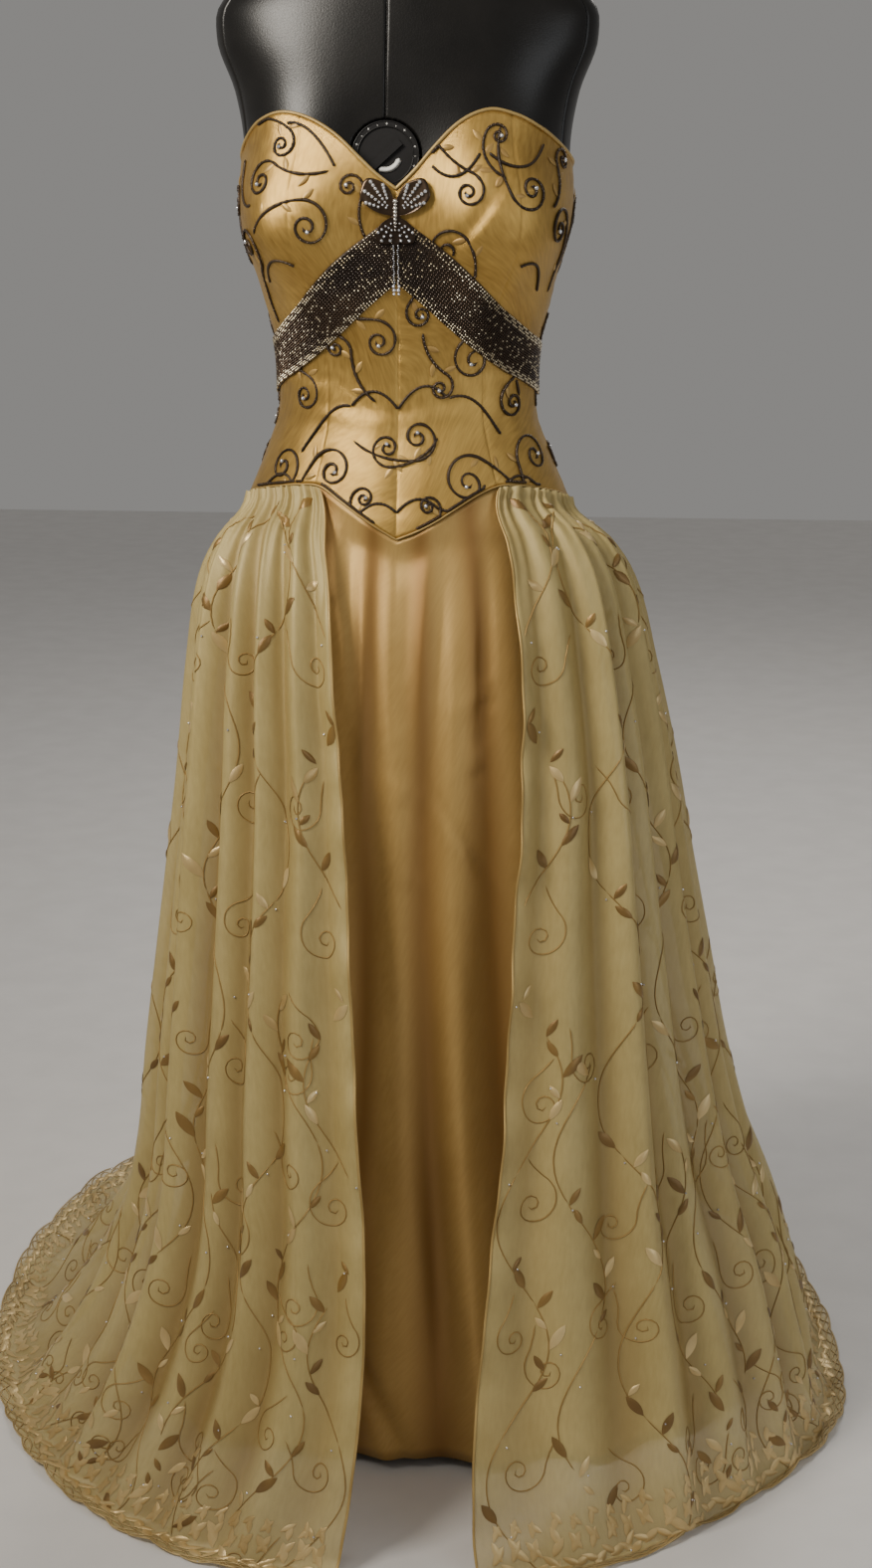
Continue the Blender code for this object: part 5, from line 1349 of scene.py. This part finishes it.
@dataclass
class DressForm:
    """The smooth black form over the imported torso, with its panel lines and its dial."""

    bottom: float = 0.800
    top: float = 1.560
    dial_across: float = -0.011
    dial_height: float = 1.297
    dial_tilt: float = 10.0
    dial_radius: float = 0.031
    dial_rim: float = 0.0055
    pocket: float = 0.0095
    line_across: float = -0.0125
    line_width: float = 0.0007
    line_depth: float = 0.0022
    side_lines: tuple[float, ...] = (-112.0, -70.0, 70.0, 112.0, 179.5)

    def dial_axes(self) -> tuple[np.ndarray, np.ndarray]:
        """The dial's centre on the chest, and its three axes: across, up and out."""
        sine = self.dial_across / BODY.read("half_width", np.array(self.dial_height))
        centre = BODY.form(np.degrees(np.arcsin(sine)), np.array(self.dial_height))
        lean = math.radians(90 - self.dial_tilt)
        return centre, np.array([[1, 0, 0], [0, math.cos(lean), math.sin(lean)], [0, -math.sin(lean), math.cos(lean)]])

    def sunk(self, points: np.ndarray) -> np.ndarray:
        """The chest's points with the dial's round pocket: inside the ring's circle they drop to its floor, and a
        short slope leads down to it."""
        centre, axes = self.dial_axes()
        local = (points - centre) @ axes.T
        away = np.hypot(local[..., 0], local[..., 1])
        share = ease(np.clip((self.dial_radius + 0.0022 - away) / 0.0014, 0, 1)) * (points[..., 1] < 0)
        local[..., 2] = local[..., 2] * (1 - share) - self.pocket * share
        return local @ axes + centre

    def build(self) -> None:
        """Makes the form's skin and the dial's marks, and dresses the nodes that stay."""
        near = np.degrees(np.arcsin(np.arange(-0.050, 0.0275, 0.0013) / 0.155))
        line = np.degrees(np.arcsin((self.line_across + np.arange(-0.0024, 0.0025, 0.0006)) / 0.155))
        sides = np.concatenate([s + np.array([-0.9, -0.5, -0.25, 0, 0.25, 0.5, 0.9]) for s in self.side_lines])
        degrees = np.unique(np.round(np.concatenate([np.arange(-180, 180, 4.0), near, line, sides]), 3))[None, :]
        z = np.unique(np.concatenate([np.linspace(self.bottom + 0.002, 1.15, 30), np.linspace(1.15, self.top, 50),
                                      np.arange(1.262, 1.334, 0.0013)]))[:, None]
        metre = np.radians(1) * BODY.read("half_width", z)
        x = BODY.read("half_width", z) * np.sin(np.radians(degrees))
        sink = bell(x, self.line_across, self.line_width) * (np.abs(degrees) < 90)
        for side in self.side_lines:
            sink = sink + 1.5 * bell((degrees - side) * metre, 0, self.line_width * 1.8)
        sink = self.line_depth * sink * np.clip((z - 0.95) / 0.05, 0, 1)
        points = BODY.form(degrees + 0 * z, z + 0 * degrees)
        outward = unit(points * np.array([1.0, 1.0, 0.0]))
        points = self.sunk(points - sink[..., None] * outward)
        low, high = points[:1].copy(), points[-1:].copy()
        low[..., :2] *= 0.02
        high[..., :2] *= 0.02
        low[..., 2], high[..., 2] = self.bottom, self.top
        points = np.concatenate([low, points, high])
        skin = mesh_object("form_skin", points, grid_faces(*points.shape[:2], closed=True), VINYL, "form_vinyl")
        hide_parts("form_torso")
        self.marks()
        for node, finish in (("form_neck_cap", PLASTIC), ("form_dial_ring", PLASTIC), ("form_dial_knob", PLASTIC),
                             ("zip_tape", TAPE), ("zip_slider", BRASS), ("zip_pull", BRASS),
                             *((n, STEEL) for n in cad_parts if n.startswith("stand_"))):
            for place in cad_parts[node].material_slots:
                place.material = finish.material()
        log.info("dress form made")

    def marks(self) -> None:
        """The dial's ticks, its raised inner lip and a painted highlight: a pale arc beside its grip."""
        centre, axes = self.dial_axes()
        ring = self.dial_radius - self.dial_rim

        def arc(radius: np.ndarray | float, turn: np.ndarray, height: float) -> np.ndarray:
            """Points round the dial's axis, at a height over its face."""
            return np.stack([radius * np.cos(turn), radius * np.sin(turn), 0 * turn + height], -1)

        def strip(local: np.ndarray, size: float, flat: float = 0.7, sides: int = 4) -> tuple:
            """A flattened cord through points on the dial's own axes."""
            return tubes((local @ axes + centre)[None], (axes[2] + 0 * local)[None], size, flat, sides)

        parts = []
        for turn in np.radians(np.arange(-20, 205, 18.0)):
            long = 0.0026 if round(math.degrees(turn) + 20) % 36 == 0 else 0.0016
            reach = np.linspace(ring + 0.0012, ring + 0.0012 + long, 4)
            parts.append(strip(arc(reach, turn + 0 * reach, 0.0016), 0.00036))
            if long > 0.002:
                parts.append(strip(arc(ring + 0.0026, turn + np.linspace(-0.045, 0.045, 4), 0.0016), 0.00032))
        # painted highlight: a pale flat arc in the marks' finish, set beside the grip where the grip catches the light
        painted_highlight_arc = np.radians(np.linspace(-118, -12, 14))
        parts.append(strip(arc(0.013, painted_highlight_arc, 0.0012), 0.0026, 0.35))
        mesh_object("dial_marks", *join(parts), MARKS, "dial_plastic")
        turn = np.linspace(0, 2 * np.pi, 73)
        rims = []
        for radius, size in ((ring + 0.0002, 0.0006), (self.dial_radius - 0.0005, 0.0007)):
            rims.append(strip(arc(radius, turn, 0.0015), size, 0.9, 6))
        mesh_object("dial_lips", *join(rims), PLASTIC, "dial_plastic")


@dataclass
class Butterfly:
    """The jewelled butterfly: dark wings edged with wire and set with stones, a body, feelers and two strands."""

    height: float = 1.2415
    hub: float = 0.0042
    lobes: tuple[tuple[float, float, float], ...] = ((46, 0.036, 2.15), (134, 0.036, 2.15), (-60, 0.024, 2.3),
                                                     (-120, 0.024, 2.3))
    under: float = 0.0030
    wall: float = 0.0014
    stone: float = 0.00185
    strand_half: float = 0.0020
    strand_low: float = 1.176

    def reach(self, degrees: np.ndarray) -> np.ndarray:
        """How far the outline lies from the centre in each direction: a hub and four lobes of cos^0.7."""
        found = np.full(np.shape(degrees), self.hub)
        for direction, length, narrow in self.lobes:
            away = (degrees - direction + 180) % 360 - 180
            found = found + length * np.maximum(np.cos(np.radians(np.clip(away * narrow, -90, 90))), 0) ** 0.7
        return found * (1 + 0.025 * np.cos(np.radians(degrees * 14)))

    def at(self, degrees: np.ndarray, share: np.ndarray, out: np.ndarray | float) -> np.ndarray:
        """The point at this direction and share of the reach, this far out of the bodice. The wings lift with x^2."""
        reach = self.reach(degrees) * share
        x, z = reach * np.cos(np.radians(degrees)), self.height + reach * np.sin(np.radians(degrees))
        return BODY.at(BODY.angle_at(x, z), z, self.under + out + 1.6 * x ** 2)

    def normal(self, points: np.ndarray) -> np.ndarray:
        """The bodice's outward direction at each point."""
        return BODY.normals(BODY.angle_at(points[..., 0], points[..., 2]), points[..., 2])

    def build(self) -> None:
        """Makes the wings, the stones, the body and the strands."""
        turn = np.arange(0, 360, 3.0)[None, :]
        share = np.array([0.02, 0.3, 0.6, 0.85, 1.0, 1.0, 0.93, 0.86, 0.6, 0.3, 0.02])[:, None]
        out = np.array([0, 0, 0, 0, 0, 1.0, 1.25, 0.8, 0.8, 0.9, 1.0])[:, None] * self.wall
        plate = self.at(turn + 0 * share, share + 0 * turn, out + 0 * turn)
        wings = mesh_object("butterfly_wing_plates", plate, grid_faces(*plate.shape[:2], closed=True)[:, ::-1],
                            WING_METAL, "rhinestones")
        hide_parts("butterfly_wings")
        places, sizes = [], []
        for direction, length, _ in self.lobes:
            big = length > 0.035
            side = 1 if abs(direction) < 90 else -1
            for spread, steps in (((-24, 4), (-9, 7), (7, 8), (22, 5)) if big else ((-18, 3), (0, 5), (18, 3))):
                away = np.linspace(0.90, 0.28 if abs(spread) < 15 else 0.5, steps)
                places.append(self.at(direction + side * spread * (0.65 + 0.35 * away), away, self.wall))
                sizes.append(self.stone * (0.45 + 0.65 * away) * (1.0 if big else 0.85))
        places, sizes = np.concatenate(places), np.concatenate(sizes)
        up = self.normal(places)
        beads_on("butterfly_stones", (6, 4), places + 0.0004 * up, up, sizes, STONE, "rhinestones")
        beads_on("butterfly_settings", (8, 4), places - 0.0003 * up, up, sizes * 1.22, SILVER, "rhinestones")
        self.middle()

    def middle(self) -> None:
        """The body as a row of beads, the feelers, and the two strands that end in crystals."""
        z = self.height + np.linspace(-0.0125, 0.0125, 9)
        spine = BODY.at(0 * z, z, self.under + self.wall + 0.0012)
        size = 0.0023 * np.array([0.45, 0.6, 0.75, 0.85, 0.95, 1.0, 1.0, 0.8, 1.05])
        thorax = beads_on("butterfly_thorax", (10, 6), spine, self.normal(spine), size, SILVER, "rhinestones")
        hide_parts("butterfly_body")
        share = np.linspace(0, 1, 16)
        feelers = []
        for hand in (-1, 1):
            x = hand * (0.001 + 0.009 * share ** 1.4)
            up_z = self.height + 0.0125 + 0.014 * share - 0.003 * share ** 3
            path = BODY.at(BODY.angle_at(x, up_z), up_z, self.under + self.wall + 0.001 + 0.001 * share)
            feelers.append(tubes(path[None], self.normal(path)[None], 0.00042, 1.0, 5))
        mesh_object("butterfly_feelers", *join(feelers), WING_METAL, "rhinestones")
        for label, hand in (("left", 1), ("right", -1)):
            z = np.arange(self.height - 0.026, self.strand_low + 0.004, -0.0019)
            x = hand * (self.strand_half + 0.0004 * np.sin(z * 700))
            path = BODY.at(BODY.angle_at(x, z), z, self.under + 0.0020)
            crystals = self.strand_low + np.array([0.0035, 0.0, -0.0035])
            ends = BODY.at(BODY.angle_at(x[-3:] * 1.25, crystals), crystals, self.under + 0.0024)
            path, size = np.concatenate([path, ends]), np.r_[np.full(len(path), 0.00078), 0.0017, 0.0021, 0.0016]
            strand = beads_on("butterfly_bead_strand_" + label, (6, 4), path, self.normal(path), size, STONE,
                              "rhinestones")
            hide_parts("butterfly_strand_" + label)
        log.info("butterfly made")


@dataclass
class Studio:
    """The pale floor, the soft lights and the camera at the photograph's angle."""

    camera_place: tuple[float, float, float] = (0.2108, -2.1899, 1.30)
    yaw: float = -4.786
    pitch: float = 15.85
    focal_pixels: float = 2250.0
    picture_height: float = 1576.0

    def build(self) -> None:
        """Makes the stage."""
        mesh = bpy.data.meshes.new("floor")
        mesh.from_pydata([(-6, -6, -0.001), (6, -6, -0.001), (6, 6, -0.001), (-6, 6, -0.001)], [], [(0, 1, 2, 3)])
        floor = bpy.data.objects.new("floor", mesh)
        bpy.context.scene.collection.objects.link(floor)
        mesh.materials.append(HardFinish("floor_paint", (0.80, 0.78, 0.76), (0.76, 0.74, 0.72), rough=0.6,
                                         grain=60.0).material())
        self.light("key", (-1.45, -1.45, 2.60), 0.9, 18.8, (1.0, 0.94, 0.84), 1.36, 88.0)
        self.light("fill", (2.3, -1.9, 1.7), 1.6, 15.0, (0.92, 0.96, 1.0), 0.9)
        self.light("back", (0.5, 2.6, 2.8), 1.6, 26.0, (1.0, 0.97, 0.92), 0.8)
        world = bpy.data.worlds.new("studio")
        world.use_nodes = True
        world.node_tree.nodes["Background"].inputs[0].default_value = (0.84, 0.82, 0.79, 1.0)
        world.node_tree.nodes["Background"].inputs[1].default_value = 0.30
        bpy.context.scene.world = world
        data = bpy.data.cameras.new("camera")
        data.sensor_width = 36.0
        data.lens = self.focal_pixels / self.picture_height * data.sensor_width
        camera = bpy.data.objects.new("camera", data)
        camera.location = self.camera_place
        camera.rotation_euler = (math.radians(90 - self.pitch), 0, math.radians(-self.yaw))
        bpy.context.scene.collection.objects.link(camera)
        bpy.context.scene.camera = camera

    def light(self, name: str, place: tuple[float, float, float], size: float, power: float,
              colour: tuple[float, float, float], aim: float, spread: float = 180.0) -> None:
        """A soft square light aimed at this height on the gown's axis, with its spread in degrees."""
        data = bpy.data.lights.new(name, "AREA")
        data.size, data.energy, data.color = size, power, colour
        data.spread = math.radians(spread)
        lamp = bpy.data.objects.new(name, data)
        lamp.location = place
        lamp.rotation_euler = (Vector((0, 0, aim)) - Vector(place)).to_track_quat("-Z", "Y").to_euler()
        bpy.context.scene.collection.objects.link(lamp)


def main() -> None:
    """Builds the stage and each sub-assembly in turn."""
    logging.basicConfig(level=logging.INFO, format="%(message)s")
    Studio().build()
    DressForm().build()
    Bodice().build()
    ZipTeeth().build()
    Scrollwork().build()
    BeadedBand("left", 0.15, 89.8).build()
    BeadedBand("right", -89.8, -0.15).build()
    Butterfly().build()
    SatinSkirt().build()
    Overskirt(Organza(1, LEFT_FOLDS), "left", seed=0.8).build()
    Overskirt(Organza(-1, RIGHT_FOLDS), "right", seed=2.1).build()
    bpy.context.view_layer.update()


if __name__ == "__main__":
    main()
